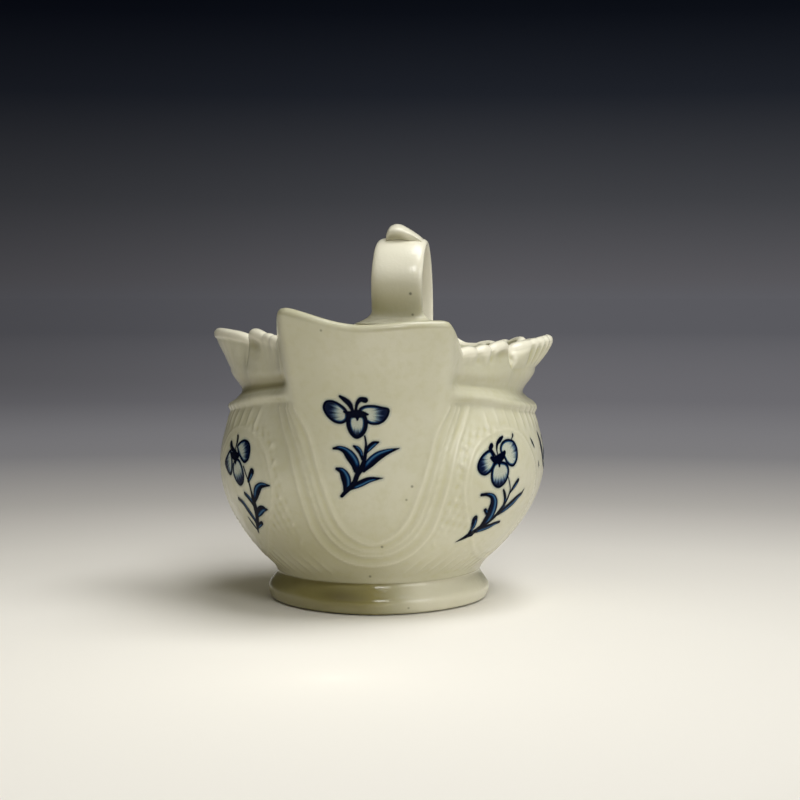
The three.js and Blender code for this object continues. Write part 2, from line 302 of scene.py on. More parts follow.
# Body: a moulded oval bowl with a broad upright spout and two scalloped shells. It is one
# pressed piece of soft-paste porcelain under a cream glaze that pools in the relief.
# Lengths are millimetres. Angles are degrees from the spout: 0 is the spout, 90 the right
# side (+X), -90 the left, 180 the handle. A level runs up the wall: 0 foot, 1 under the ring,
# 2 over the ring, 3 the foot of the shells, 4 the rim.
foot_height = 6.2
base_half_width, base_half_length, base_shift = 20, 24.6, -0.9
belly_height, belly_half_width, belly_half_length = 29, 33.5, 36.2
neck_height, neck_half_width, neck_half_length = 42, 29.7, 33
outline_power, neck_curve = 2.15, 1.7
wall, floor_thickness = 2.2, 3
ring_height, ring_climb, ring_climb_curve, ring_proud, ring_half_height = 39.8, 4.4, 1.6, 1.1, 1.6
cove_depth, cove_height, cove_skew = 1.0, 3.5, 0.55
shell_line_height, shell_line_share, shell_curve, lobe_fade = 47.8, 0.35, 1.4, 1.6
shell_turn, shell_turn_end = 3, (68, 90)
lip_reach, lip_height, lip_half_width, lip_shift = 45.6, 56.65, 16.4, 0.4
lip_crown, lip_corner_radius = 5.2, 2.2
spout_root_height, spout_root_half_width = 22, 14
spout_root_corner_radius, spout_root_fillet = 6, 4
spout_splay, spout_lean_curve, spout_fall_curve = 0.2, 1.6, 1.1
spout_share_ends = (-0.3, 1.2)
spout_corner_rise, spout_peak_rise = 1.6, 0.95
petal_height, petal_reach, petal_half_angle = 54.15, 35.17, 31.5
notch_height, notch_inset = 51.2, 1.8
lobe_height, lobe_foot_height, lobe_angle, lobe_flare = 53.5, 52.5, 14.5, 0.5
lobe_skew, lobe_tuck = 1.2, 6
small_lobe_angle, small_lobe_rise, small_lobe_flare, small_lobe_count = 6.25, 0.35, 0.5, 2
small_lobe_out = (0, 0.7)
dip_height, front_lift = 51.8, 1.2
rear_flare, back_flare, back_rim_height, back_rim_angle = 3.8, 2, 56.6, 28
kiln_lean = 0.58
strap_root_width = 16
handle_reach = 52
foot_half_width, foot_half_length, foot_power = 23, 26.8, 1.85
foot_turn, waist_inset, waist_fillet = 3, 1.9, 2.2

notch_angle = 90 - petal_half_angle
lobe_start = notch_angle - lobe_angle
dip_angle = lobe_start - small_lobe_count * small_lobe_angle
petal_edge, rear_opening = (notch_angle - 2, notch_angle + 9), (100, 125)
root_angle = math.degrees(math.atan2(strap_root_width / 2, neck_half_length + back_flare))
boat_shift = handle_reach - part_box("handle")[1].y * 1000


def lerp(first, second, share):
    return first + (second - first) * share


def smooth(value, low, high):
    t = np.clip((value - low) / (high - low), 0, 1)
    return t * t * (3 - 2 * t)


def band(value, rise, fall):
    """1 between a rise and a fall, each given by its two ends, and 0 outside them."""
    return smooth(value, *rise) * (1 - smooth(value, *fall))


def smooth_max(a, b, radius):
    near = np.maximum(radius - np.abs(a - b), 0) / radius
    return np.maximum(a, b) + near * near * radius / 4


def swell(z, base, belly, neck):
    """Half-width or half-length of the bowl at a height."""
    low = belly - (belly - base) * (1 - (z - foot_height) / (belly_height - foot_height)) ** 2
    up = np.clip((z - belly_height) / (neck_height - belly_height), 0, 1)
    return np.where(z < belly_height, low, belly - (belly - neck) * up**neck_curve)


def oval(angle, half_width, half_length, power):
    turn = np.radians(angle)
    total = np.abs(np.sin(turn) / half_width) ** power + np.abs(np.cos(turn) / half_length) ** power
    return total ** (-1 / power)


def lip_half(angle):
    return lip_half_width + np.where(angle < 0, -lip_shift, lip_shift)


def corner_angle(angle):
    return np.degrees(np.arctan2(lip_half(angle), lip_reach - lip_crown))


def spout_radius(angle, z):
    """Distance from the boat's axis to the spout's front face or side face."""
    side = np.radians(np.abs(angle))
    lip = lip_half(angle)
    up = np.clip((z - belly_height) / (lip_height - belly_height), *spout_share_ends)
    reach = lerp(belly_half_length, lip_reach, np.sign(up) * np.abs(up) ** spout_lean_curve)
    rise = np.clip(up, 0, 1)
    half_width = lerp(spout_root_half_width, lip, np.sqrt(rise))
    sine, cosine = np.sin(side), np.cos(side)
    steep = 4 * lip_crown / lip**2 * sine**2
    front = 2 * reach / (cosine + np.sqrt(cosine**2 + steep * reach))
    flank = (half_width + spout_splay * (reach - lip_crown)) / (sine + spout_splay * cosine)
    return -smooth_max(-front, -flank, lerp(spout_root_corner_radius, lip_corner_radius, rise))


def arch(t):
    return np.sin(np.pi * np.clip(t, 0, 1))


def fold(angle):
    """The angle on the front right quarter, with the shells turned a little round the axis."""
    folded = np.minimum(np.abs(angle), 180 - np.abs(angle))
    return folded - shell_turn * np.sign(angle) * band(folded, (dip_angle, lobe_start), shell_turn_end)


def scallop(angle):
    """Height and flare of the rim of the shells."""
    folded = fold(angle)
    petal_up = arch(0.5 + (folded - 90) / (2 * petal_half_angle))
    petal = lerp(notch_height, petal_height, np.sqrt(petal_up))
    petal_flare = lerp(-notch_inset, petal_reach - neck_half_width, petal_up)
    t = np.clip((folded - lobe_start) / lobe_angle, 0, 1)
    lobe_foot = lerp(lobe_foot_height, notch_height, t)
    lobe = lerp(lobe_foot, lobe_height, np.sqrt(arch(t**lobe_skew)))
    step = np.clip((folded - dip_angle) / small_lobe_angle, 0, small_lobe_count)
    small_up = np.sqrt(arch(step % 1))
    small_foot = lerp(dip_height, lobe_foot_height, step / small_lobe_count)
    on_petal, on_lobe = folded >= notch_angle, folded >= lobe_start
    height = np.where(on_lobe, lobe, small_foot + small_lobe_rise * small_up)
    lobe_out = lobe_flare - (notch_inset + lobe_flare) * t**lobe_tuck
    flare = np.where(on_lobe, lobe_out, small_lobe_flare * smooth(step, *small_lobe_out))
    return np.where(on_petal, petal, height), np.where(on_petal, petal_flare, flare)


def rim_height(angle):
    side = np.abs(angle)
    turn = np.radians(angle)
    lean = -kiln_lean * np.sin(turn) * (1 + np.cos(turn)) ** 2
    lift = front_lift * (1 - smooth(side, notch_angle, 180 - lobe_start))
    corner = corner_angle(angle)
    peak = lip_height + spout_corner_rise + np.where(angle < 0, spout_peak_rise, 0)
    near = smooth(side / corner, 0, 1)
    lip = lerp(lip_height, peak, near) + lean * near
    fallen = np.clip((side - corner) / (dip_angle - corner), 0, 1) ** spout_fall_curve
    flank = lerp(peak, dip_height + lift, fallen) + lean
    back = lerp(dip_height, back_rim_height, smooth(side, 180 - back_rim_angle, 180 - root_angle)) + lean
    shell = scallop(angle)[0] + lift + lean
    shell = np.where(side > 180 - dip_angle, back, shell)
    return np.where(side <= corner, lip, np.where(side < dip_angle, flank, shell))


def rim_flare(angle):
    side = np.abs(angle)
    rear_full = 180 - notch_angle + lobe_angle / 2
    rear = lerp(rear_flare, back_flare, smooth(side, rear_full, 180)) * smooth(side, 90, rear_full)
    shell = np.where(side > 180 - dip_angle, rear, scallop(angle)[1] + rear)
    return np.where(side < dip_angle, 0, shell)


def ring_line(angle):
    return ring_height + ring_climb * np.abs(np.cos(np.radians(angle))) ** ring_climb_curve


def foot_outline(angle):
    """Distance from the foot's own axis to its edge."""
    return oval(angle - foot_turn, foot_half_width, foot_half_length, foot_power)


def level_stops(angle):
    ring = ring_line(angle)
    over = ring + ring_half_height
    shell = np.maximum(shell_line_height, over + cove_height)
    return [foot_height + 0 * angle, ring - ring_half_height, over, shell, rim_height(angle) - wall / 2]


def height_at(angle, level):
    stops = level_stops(angle)
    return stops[0] + sum((stops[i + 1] - stops[i]) * np.clip(level - i, 0, 1) for i in range(4))


def level_at(angle, z):
    stops = level_stops(angle)
    return sum(np.clip((z - stops[i]) / np.maximum(stops[i + 1] - stops[i], 1e-6), 0, 1) for i in range(4))


def on_shell(angle):
    return smooth(np.abs(angle), corner_angle(angle), dip_angle)


def cove_share(level):
    """How deep the cove between the ring and the shells is at a level, 0 to 1."""
    return np.sin(np.pi * np.clip(level - 2, 0, 1) ** cove_skew) ** 2


def wall_point(angle, level, plain=False):
    """A point of the outer face. The ring and the cove are left off where plain is true."""
    angle, level = np.broadcast_arrays(np.asarray(angle, float), np.asarray(level, float))
    z = height_at(angle, level)
    spout = smooth(z, spout_root_height, ring_height - ring_half_height)
    half_width = swell(z, base_half_width, belly_half_width, neck_half_width)
    half_length = swell(z, base_half_length, belly_half_length, neck_half_length)
    bowl = oval(angle, half_width, half_length, outline_power)
    bowl = smooth_max(bowl, foot_outline(angle) - waist_inset, waist_fillet)
    panel = np.where(np.abs(angle) < 90, smooth_max(bowl, spout_radius(angle, z), spout_root_fillet), bowl)
    radius = lerp(bowl, panel, spout)
    up = np.clip(level - 3, 0, 1)
    opened = lerp(shell_line_share, 1, 1 - (1 - up) ** shell_curve)
    folded = fold(angle)
    petal_share = smooth(folded, *petal_edge)
    opened = lerp(up**lobe_fade, opened, np.maximum(petal_share, smooth(np.abs(angle), *rear_opening)))
    opened = np.where(level < 3, shell_line_share * petal_share * smooth(level, 2, 3), opened)
    radius = radius + rim_flare(angle) * opened
    if not plain:
        ring = np.sin(np.pi * np.clip(level - 1, 0, 1)) ** 2
        radius = radius + on_shell(angle) * (ring_proud * ring - cove_depth * cove_share(level))
    turn = np.radians(angle)
    sag = base_shift * (1 - np.clip((z - foot_height) / (belly_height - foot_height), 0, 1)) ** 2
    return np.stack([radius * np.sin(turn) + sag, -radius * np.cos(turn), z], -1)


def unit(vectors):
    return vectors / np.linalg.norm(vectors, axis=-1, keepdims=True)


level_step, angle_step = 0.05, 1.5


def wall_frame(angle, level, plain=True):
    """The outward normal and the upward direction along the face."""
    over = wall_point(angle, np.minimum(level + level_step, 4), plain)
    under = wall_point(angle, np.maximum(level - level_step, 0), plain)
    upward = unit(over - under)
    around = wall_point(angle + angle_step, level, plain) - wall_point(angle - angle_step, level, plain)
    return unit(np.cross(around, upward)), upward


def mesh_piece(name, points, faces, material, values=None):
    """A smooth mesh of points in millimetres on the boat's own axis, moved into the frame."""
    mesh = bpy.data.meshes.new(name)
    placed = (np.asarray(points) - (0, boat_shift, 0)) / 1000
    mesh.from_pydata(placed.tolist(), [], faces)
    mesh.polygons.foreach_set("use_smooth", [True] * len(mesh.polygons))
    for key, value in (values or {}).items():
        attribute = mesh.attributes.new(key, "FLOAT", "POINT")
        attribute.data.foreach_set("value", np.ravel(value).astype(np.float32))
    mesh.materials.append(material)
    return shown(name, mesh)


def skin_faces(rows, columns, closed=False):
    """Faces over rows of points that go round. Open ends close on two added points."""
    index = np.arange(rows * columns).reshape(rows, columns)
    index = np.vstack([index, index[:1]]) if closed else index
    onward = np.roll(index, -1, 1)
    quads = np.stack([index[:-1], onward[:-1], onward[1:], index[1:]], -1).reshape(-1, 4).tolist()
    if closed:
        return quads
    start, end = rows * columns, rows * columns + 1
    first = [(start, int(b), int(a)) for a, b in zip(index[0], onward[0])]
    last = [(end, int(a), int(b)) for a, b in zip(index[-1], onward[-1])]
    return quads + first + last


def stepped(stops, step):
    """Values from the first stop to the last, on every stop and about a step apart."""
    parts = []
    for first, second, size in zip(stops, stops[1:], step):
        count = max(1, round(abs(second - first) / size))
        parts.append(np.linspace(first, second, count, endpoint=False))
    return np.concatenate(parts)


front_step, side_step, back_step, corner_margin = 0.5, 0.7, 1.2, 4


def side_columns(side):
    """Column angles of one side, from the spout to the handle."""
    corner = float(corner_angle(np.array(side)))
    turned_edges = [lobe_start + shell_turn * side, notch_angle + shell_turn * side]
    lobes = [dip_angle, dip_angle + small_lobe_angle, *turned_edges]
    corner_stops = [corner - corner_margin, corner, corner + corner_margin]
    stops = [0, *corner_stops, *lobes, 90, *[180 - a for a in reversed(lobes)], 180]
    return stepped(stops, [front_step] * 7 + [side_step] * 2 + [back_step] * 4)


def joined(*runs):
    """Runs of levels, each from a start to an end in a count, with the shared ends kept once."""
    first = np.linspace(*runs[0])
    return np.concatenate([first, *[np.linspace(*run)[1:] for run in runs[1:]]])


columns = np.concatenate([[-180], -side_columns(-1)[:0:-1], side_columns(1)])
outer_levels = joined((0, 1, 80), (1, 2, 9), (2, 3, 10), (3, 4, 24))
outer_levels[:80] **= 1.1
rim_rows = 8
inner_levels = joined((4, 3, 8), (3, 1, 6), (1, 0.14, 16))
base_shares = np.array([0.3, 0.6, 0.85, 0.97])
floor_shares = np.array([0.95, 0.9, 0.82, 0.72, 0.5, 0.25])
floor_bend, floor_bend_reach = 0.72, 0.28

# The moulded relief. Lines are given by angle and height on the front right quarter; the mould
# repeats them on the left and behind.
u_rib_middle, fine_rib_share = 2, 0.62
u_ribs = [
    [(0, 14.8), (8, 16.9), (12, 20.5), (14.8, 26), (17, 31), (19.5, 36.8), (23.7, 41.3)],
    [(0, 12.3), (9.5, 13.6), (15.5, 17.2), (18.7, 23.5), (21.6, 31), (26.5, 38.5), (28.5, 41)],
    [(0, 10.1), (10, 11.1), (16, 13.4), (20, 17), (22, 22), (24, 28), (26.5, 33.5), (29.5, 37.1), (33, 41)],
]
cartouche = [
    (31.2, 25.4), (35, 33), (47.2, 36.4), (61.2, 34), (70, 23.6), (67.8, 11.7), (52, 10.8), (38.6, 16),
]
cartouche_middle, cartouche_inner_share, cartouche_inner_proud = (51, 23.5), 0.9, 0.6
ring_flute_angles = np.arange(42, 91, 5.3)
ring_flute_heights, ring_flute_lean = (35.6, 41), 1
feather_angles = np.arange(14, 62, 5.5)
feather_bend = [(0, 7.6), (4, 9.9), (10, 13)]
leaf_vein_heights = np.arange(16, 37, 3.1)
leaf_vein_gap, leaf_vein_reach, leaf_vein_rise = 1.2, 3.6, 2.6
rib_width, rib_proud = 0.5, 0.23
flute_width, flute_proud = 0.5, 0.22
feather_width, feather_proud = 0.4, 0.16
leaf_grain, leaf_proud, leaf_edge = 2.6, 0.12, (0.5, 2.5)
leaf_slants, leaf_heights = (2.3, 1.7), ((15, 18), (36, 39))


def curve_through(points, steps=24):
    """Points along a smooth curve through the given points, closer where they are closer."""
    given = np.asarray(points, float)
    given = np.concatenate([[2 * given[0] - given[1]], given, [2 * given[-1] - given[-2]]])
    gaps = np.sqrt(np.linalg.norm(np.diff(given, axis=0), axis=1))[:, None]
    before, here, there, after = given[:-3], given[1:-2], given[2:-1], given[3:]
    first, middle, last = gaps[:-2], gaps[1:-1], gaps[2:]
    leave = (here - before) / first - (there - before) / (first + middle) + (there - here) / middle
    arrive = (there - here) / middle - (after - here) / (middle + last) + (after - there) / last
    t = np.linspace(0, 1, steps, endpoint=False)[:, None, None]
    eased = lerp(here, there, t * t * (3 - 2 * t))
    bent = (t * (1 - t) ** 2 * leave - t * t * (1 - t) * arrive) * middle
    return np.concatenate([(eased + bent).transpose(1, 0, 2).reshape(-1, given.shape[1]), given[-2:-1]])


def on_wall(line):
    """Points of the outer face under a line of angles and heights."""
    angle = (line[:, 0] + 180) % 360 - 180
    return wall_point(angle, level_at(angle, line[:, 1]))


def turned(line, quarter):
    """A line of the front right quarter on another: 0 front right, 1 front left, 2 and 3 behind."""
    angle = line[:, 0] if quarter < 2 else 180 - line[:, 0]
    return np.stack([-angle if quarter % 2 else angle, line[:, 1]], -1)


mould_lines = []
u_ribs.insert(1, np.array(u_ribs[0]) * (1 - fine_rib_share) + np.array(u_ribs[1]) * fine_rib_share)
for middle_angle in (u_rib_middle, 180):
    for half in u_ribs:
        right = np.array(half, float)
        left = right[:0:-1] * (-1, 1)
        line = curve_through(np.concatenate([left, right]) + (middle_angle, 0), 12)
        mould_lines.append((on_wall(line), rib_width, rib_proud, 0))
closed_oval = curve_through(cartouche[-2:] + cartouche + cartouche[:3], 16)[32:-32]
u_edge = curve_through(u_ribs[-1])
oval_edge = curve_through(cartouche[-1:] + cartouche[:3])
for quarter in range(4):
    for share, proud in ((1, rib_proud), (cartouche_inner_share, rib_proud * cartouche_inner_proud)):
        line = lerp(np.array(cartouche_middle, float), closed_oval, share)
        mould_lines.append((on_wall(turned(line, quarter)), rib_width, proud, 0))
    for angle in ring_flute_angles:
        ends = zip((angle, angle - ring_flute_lean), ring_flute_heights)
        line = np.linspace(*ends, 12)
        mould_lines.append((on_wall(turned(line, quarter)), flute_width, flute_proud, 1))
    for angle in feather_angles:
        line = curve_through([(angle + onward, z) for onward, z in feather_bend], 10)
        mould_lines.append((on_wall(turned(line, quarter)), feather_width, feather_proud, 1))
    for z in leaf_vein_heights:
        inner_angle = np.interp(z, u_edge[:, 1], u_edge[:, 0]) + u_rib_middle + leaf_vein_gap
        line = np.linspace((inner_angle, z), (inner_angle + leaf_vein_reach, z - leaf_vein_rise), 10)
        mould_lines.append((on_wall(turned(line, quarter)), feather_width, feather_proud, 1))


def nearest(points, line):
    """For each point: its distance from a line, and the place of the line's nearest point."""
    found, place = np.full(len(points), np.inf), np.zeros(len(points), int)
    for start in range(0, len(line), 32):
        gaps = np.linalg.norm(points[:, None] - line[None, start:start + 32], axis=-1)
        least = gaps.min(1)
        place = np.where(least < found, start + gaps.argmin(1), place)
        found = np.minimum(found, least)
    return found, place


def relief(angle, level, points):
    """How far the moulded ornament stands proud of the face, in millimetres."""
    flat = points.reshape(-1, 3)
    proud = np.zeros(len(flat))
    for line, width, height, fades in mould_lines:
        low, high = line.min(0) - 3 * width, line.max(0) + 3 * width
        close = np.flatnonzero(((flat > low) & (flat < high)).all(1))
        if len(close):
            distance, place = nearest(flat[close], line)
            ends = np.sin(np.pi * (place + 0.5) / len(line)) if fades else 1
            ridge = height * ends * np.exp(-(distance / width) ** 2)
            proud[close] = np.maximum(proud[close], ridge)
    proud = proud.reshape(angle.shape)
    side, z = np.abs(angle), points[..., 2]
    folded = np.minimum(side, 180 - side)
    from_u = folded - u_rib_middle - np.interp(z, u_edge[:, 1], u_edge[:, 0])
    from_oval = np.interp(z, oval_edge[:, 1], oval_edge[:, 0]) - folded
    leafy = smooth(from_u, *leaf_edge) * smooth(from_oval, *leaf_edge)
    leafy = leafy * band(z, *leaf_heights)
    along = np.radians(folded) * belly_half_width
    grain = np.sin(2 * np.pi * (along / leaf_grain + z / (leaf_slants[0] * leaf_grain)))
    grain = grain * np.sin(2 * np.pi * (z / leaf_grain - along / (leaf_slants[1] * leaf_grain)))
    proud = proud + leaf_proud * leafy * grain
    return proud + shell_relief(angle, level)


petal_flute_angle, petal_flute_depths, petal_set_backs = 4.2, (0.03, 0.45), (0.3, 0)
petal_bulb_angle, petal_bulbs, petal_bulb_overlap, petal_bulb_climb = 12, (0.3, 1.2), 3, 0.76
fan_edge, fan_climb, fan_rim_share, shell_rim_band = 2, (0.05, 0.4), 0.5, (0.84, 0.93)
set_back_angle, set_back_climb = 5, (0, 0.4)
lobe_dishes, lobe_bead, lobe_grooves, lobe_groove_half_angle = (0.4, 0.4), 0.2, (0.06, 0.3), 1.4
dish_start, dish_width, dish_curve, dish_levels = 0.05, 0.8, 1.3, ((0.2, 0.7), (0.68, 1))
lobe_bead_climb, lobe_groove_climb = (0.8, 0.96), (0.25, 0.6)
small_flute_angle, small_flute_depths, small_beads = 3.1, (0.02, 0.06), (0.05, 0.25)
small_flute_levels, small_bead_climb = ((0.1, 0.3), (0.7, 0.95)), (0.2, 0.75)


def shell_relief(angle, level):
    """Fan flutes and a bulb on the petals, and the dished and grooved faces of the lobes."""
    folded = fold(angle)
    up = np.clip(level - 3, 0, 1)
    rim_band = smooth(up, *shell_rim_band)
    fan = 0.5 - 0.5 * np.cos(2 * np.pi * (folded - 90) / petal_flute_angle)
    fan_start = notch_angle + petal_bulb_angle
    fan = fan * smooth(folded, fan_start - fan_edge, fan_start + fan_edge)
    left = angle < 0
    fan_depth = np.where(left, *petal_flute_depths) * smooth(up, *fan_climb) * (1 - rim_band * fan_rim_share)
    bulb_share = (folded - notch_angle + petal_bulb_overlap) / (petal_bulb_angle + petal_bulb_overlap)
    bulb = arch(bulb_share) * arch(up * petal_bulb_climb)
    set_back = smooth(folded, notch_angle, notch_angle + set_back_angle)
    set_back = set_back * smooth(up, *set_back_climb) * (1 - rim_band)
    set_back = set_back * np.where(left, *petal_set_backs)
    petal = np.where(left, *petal_bulbs) * bulb - fan_depth * fan - set_back
    t = (folded - lobe_start) / lobe_angle
    dish = arch((t - dish_start) / dish_width) ** dish_curve * band(up, *dish_levels)
    bead = smooth(up, *lobe_bead_climb) * arch(t)
    lobe = lobe_bead * bead - np.where(left, *lobe_dishes) * dish
    small_flute = 0.5 - 0.5 * np.cos(2 * np.pi * (folded - dip_angle) / small_flute_angle)
    small_flute = small_flute * band(up, *small_flute_levels)
    small_bead = smooth(up, *small_bead_climb) * arch((folded - dip_angle) / small_lobe_angle % 1)
    small = np.where(left, *small_beads) * small_bead - np.where(left, *small_flute_depths) * small_flute
    small = small * smooth(folded, dip_angle, dip_angle + 1)
    face = np.where(folded > notch_angle, petal, np.where(folded > lobe_start, lobe, small))
    for boundary in (dip_angle + small_lobe_angle, lobe_start, notch_angle):
        groove = np.exp(-((folded - boundary) / lobe_groove_half_angle) ** 2) * smooth(up, *lobe_groove_climb)
        face = face - np.where(left, *lobe_grooves) * groove
    return face


grid_angle, grid_level = np.meshgrid(columns, outer_levels)
outer_plain = wall_point(grid_angle, grid_level)
outer_relief = relief(grid_angle, grid_level, outer_plain)
outer_out = wall_frame(grid_angle, grid_level, plain=False)[0]
outer = outer_plain + outer_out * outer_relief[..., None]
inner_angle, inner_level = np.meshgrid(columns, inner_levels)
inner = wall_point(inner_angle, inner_level, plain=True) - wall * wall_frame(inner_angle, inner_level)[0]
face_out, face_up = wall_frame(columns, np.full_like(columns, 4.0))
rim_middle = (outer[-1] + inner[0]) / 2
rim_half = np.linalg.norm(outer[-1] - inner[0], axis=-1)[:, None] / 2
turns = np.pi * np.arange(1, rim_rows + 1) / (rim_rows + 1)
rim = np.stack([rim_middle + rim_half * (face_out * math.cos(t) + face_up * math.sin(t)) for t in turns])
base = outer[0] * np.stack([base_shares, base_shares, base_shares**0], -1)[:, None]
edge = inner[-1]
bowl_floor = edge * np.stack([floor_shares, floor_shares, floor_shares * 0], -1)[:, None]
sunk = np.clip((floor_shares - floor_bend) / floor_bend_reach, 0, 1)[:, None] ** 2
bowl_floor[..., 2] = lerp(foot_height + floor_thickness, edge[:, 2], sunk)
rings = np.concatenate([base, outer, rim, inner, bowl_floor])
centres = [[0, 0, foot_height], [0, 0, foot_height + floor_thickness]]
body_points = np.concatenate([rings.reshape(-1, 3), centres])


def local_mean(values, reach):
    """The mean of each point's surroundings in a grid whose rows go round."""
    padded = np.pad(values, ((reach, reach), (0, 0)), mode="edge")
    total = sum(np.roll(padded, shift, 1) for shift in range(-reach, reach + 1))
    return sum(total[i:i + len(values)] for i in range(2 * reach + 1)) / (2 * reach + 1) ** 2


glaze_roughness = 0.2
thin_reach, thin_scale = 4, 0.2
glaze_noises = ((55, 3), (600, 3), (900, 2))
cloud_fade, mottle_fade, mottle_share, pooled_share = (0.3, 0.7), (0.4, 0.75), 0.22, 0.6
stain_and_shade_least, stain_and_shade_cloud = 0.7, 0.5
ripple_strength, ripple_depth = 0.12, 0.0004
glaze_pale, glaze_deep = (205, 202, 180), (197, 194, 168)
pool_colour, stain_and_shade_colour = (186, 181, 138), (140, 132, 84)
ridge_and_highlight_colour, deep_stain_and_shade_colour = (233, 229, 209), (92, 84, 48)

# Specks of ash in the glaze: where each is, in millimetres in the frame, and its size.
speck_colour, speck_squash, speck_strength = (60, 66, 52), (1, 0.1, 1), 1.4
specks = [
    (-7.4, -47.4, 56.1, 0.35), (2.7, -34.6, 14.3, 0.4), (8.8, -38.6, 26.4, 0.4), (7.7, -38.3, 23.8, 0.35),
    (-0.1, -29.6, 7.8, 0.4), (3.4, 27, 63, 0.5), (3.7, 28.1, 58.3, 0.45), (7.3, -29.8, 1.4, 0.4),
    (8.8, -29.7, 1.4, 0.3), (12.7, -28.3, 1.8, 0.4),
]

glaze, tree = new_material("cream_glaze")
place = add_node(tree, "ShaderNodeTexCoord")["Object"]
cloud, mottle, grain = [
    place.node("ShaderNodeTexNoise", None, {"Vector": place, "Scale": scale, "Detail": detail})["Fac"]
    for scale, detail in glaze_noises
]
thin = point_value(tree, "thin")
colour = mix_colours(tree, cloud.fade(*cloud_fade), linear(*glaze_deep), linear(*glaze_pale))
colour = mix_colours(tree, mottle.fade(*mottle_fade) * mottle_share, colour, linear(*pool_colour))
colour = mix_colours(tree, (thin * -1).fade(0, 1) * pooled_share, colour, linear(*pool_colour))
# Paler where the glaze runs thinner on ridges, and painted highlights: the shells' rim tops, the strap, the
# thumb rest and the foot's lit right side are painted paler the same way.
colour = mix_colours(tree, thin.fade(0, 2), colour, linear(*ridge_and_highlight_colour))
# Real stains, and painted shade in the same olive: in the coves and dishes of the shells, low on the bowl, on
# the foot, on the strap and under the thumb rest.
stain = point_value(tree, "stain")
stained_and_shaded = (stain * (stain_and_shade_least + stain_and_shade_cloud * cloud)).at_most(1)
colour = mix_colours(tree, stained_and_shaded, colour, linear(*stain_and_shade_colour))
colour = mix_colours(tree, stain.fade(1, 2), colour, linear(*deep_stain_and_shade_colour))
for x, y, z, size in specks:
    offset = place.vector("SUBTRACT", (x / 1000, y / 1000, z / 1000))
    away = offset.vector("MULTIPLY", speck_squash).length()
    share = (1 - away.fade(size / 4000, size / 1000)) * size * speck_strength
    colour = mix_colours(tree, share, colour, linear(*speck_colour))
ripple = {"Strength": ripple_strength, "Distance": ripple_depth, "Height": grain}
normal = place.node("ShaderNodeBump", None, ripple)["Normal"]
glazed = {"Base Color": colour, "Roughness": glaze_roughness, "Normal": normal}
shader = add_node(tree, "ShaderNodeBsdfPrincipled", None, glazed)
add_node(tree, "ShaderNodeOutputMaterial", None, {"Surface": shader["BSDF"]})


def blot(angle, z, middle, spread):
    """A soft spot round a middle angle and height, 1 at its middle."""
    return np.exp(-((angle - middle[0]) / spread[0]) ** 2 - ((z - middle[1]) / spread[1]) ** 2)


# Pairs of stains and painted shades are for the left and the right. Levels and angles give a rise and a fall.
shell_rim_highlight, shell_rim_highlight_levels, shell_rim_top_highlight = 1.2, (3.7, 3.95), 1.8
cove_shade_sides, cove_shade_levels = (0.7, 0.12), ((1.8, 2.1), (2.45, 3))
dish_pool_and_shade_sides, dish_pool_and_shade_levels = (0.5, 0.25), ((3.45, 3.75), (3.85, 3.98))
low_shade_sides, low_shade_turn, low_shade_heights = (0.45, 0.15), (-10, 20), (foot_height + 1, foot_height + 9)
low_shade_blot, low_shade_blot_middle, low_shade_blot_spread = 0.45, (-24, 13), (26, 7)
lip_stain, lip_stain_least, lip_stain_wave, lip_stain_waves, lip_stain_inside = 0.4, 0.6, 0.4, 9, 0.2

body_thin_glaze_and_light = np.zeros(len(body_points))
outer_thin_and_highlight = np.clip((outer_relief - local_mean(outer_relief, thin_reach)) / thin_scale, -1, 1)
# Painted highlight: the band of the shells' outer face just under the rim is painted paler, as if catching
# the light from above.
outer_thin_and_highlight = outer_thin_and_highlight + shell_rim_highlight * on_shell(grid_angle) * smooth(grid_level, *shell_rim_highlight_levels)
first = base.shape[0] * len(columns)
body_thin_glaze_and_light[first:first + outer_thin_and_highlight.size] = outer_thin_and_highlight.ravel()

body_stain_and_shade = np.zeros(len(body_points))
# Painted shade in the cove under the shells, deep on the left, away from the lamps, and faint on the right.
cove_shade = on_shell(grid_angle) * band(grid_level, *cove_shade_levels)
cove_shade = cove_shade * np.where(grid_angle < 0, *cove_shade_sides)
# The olive of glaze pooling in the lobes' dishes, and painted shade there, heavier on the left.
lobe_share = (fold(grid_angle) - lobe_start) / lobe_angle
dish_pool_and_shade = arch(lobe_share) * band(grid_level, *dish_pool_and_shade_levels)
dish_pool_and_shade = dish_pool_and_shade * np.where(grid_angle < 0, *dish_pool_and_shade_sides)
# Painted shade low on the bowl just above the foot, heavier on the left, with a painted shadow patch low on
# the front left.
wall_z = outer_plain[..., 2]
low_shade = 1 - smooth(wall_z, *low_shade_heights)
low_shade = low_shade * lerp(*low_shade_sides, smooth(grid_angle, *low_shade_turn))
low_shade = np.maximum(low_shade, low_shade_blot * blot(grid_angle, wall_z, low_shade_blot_middle, low_shade_blot_spread))
body_stain_and_shade[first:first + outer_thin_and_highlight.size] = np.maximum(cove_shade + dish_pool_and_shade, low_shade).ravel()
waves = np.sin(np.radians(columns) * lip_stain_waves)
inwards = np.linspace(1, lip_stain_inside, rim_rows)[:, None]
rim_stain = lip_stain * (lip_stain_least + lip_stain_wave * waves) * inwards
rim_stain = rim_stain * (1 - on_shell(columns))
first += outer_thin_and_highlight.size
body_stain_and_shade[first:first + rim_stain.size] = rim_stain.ravel()
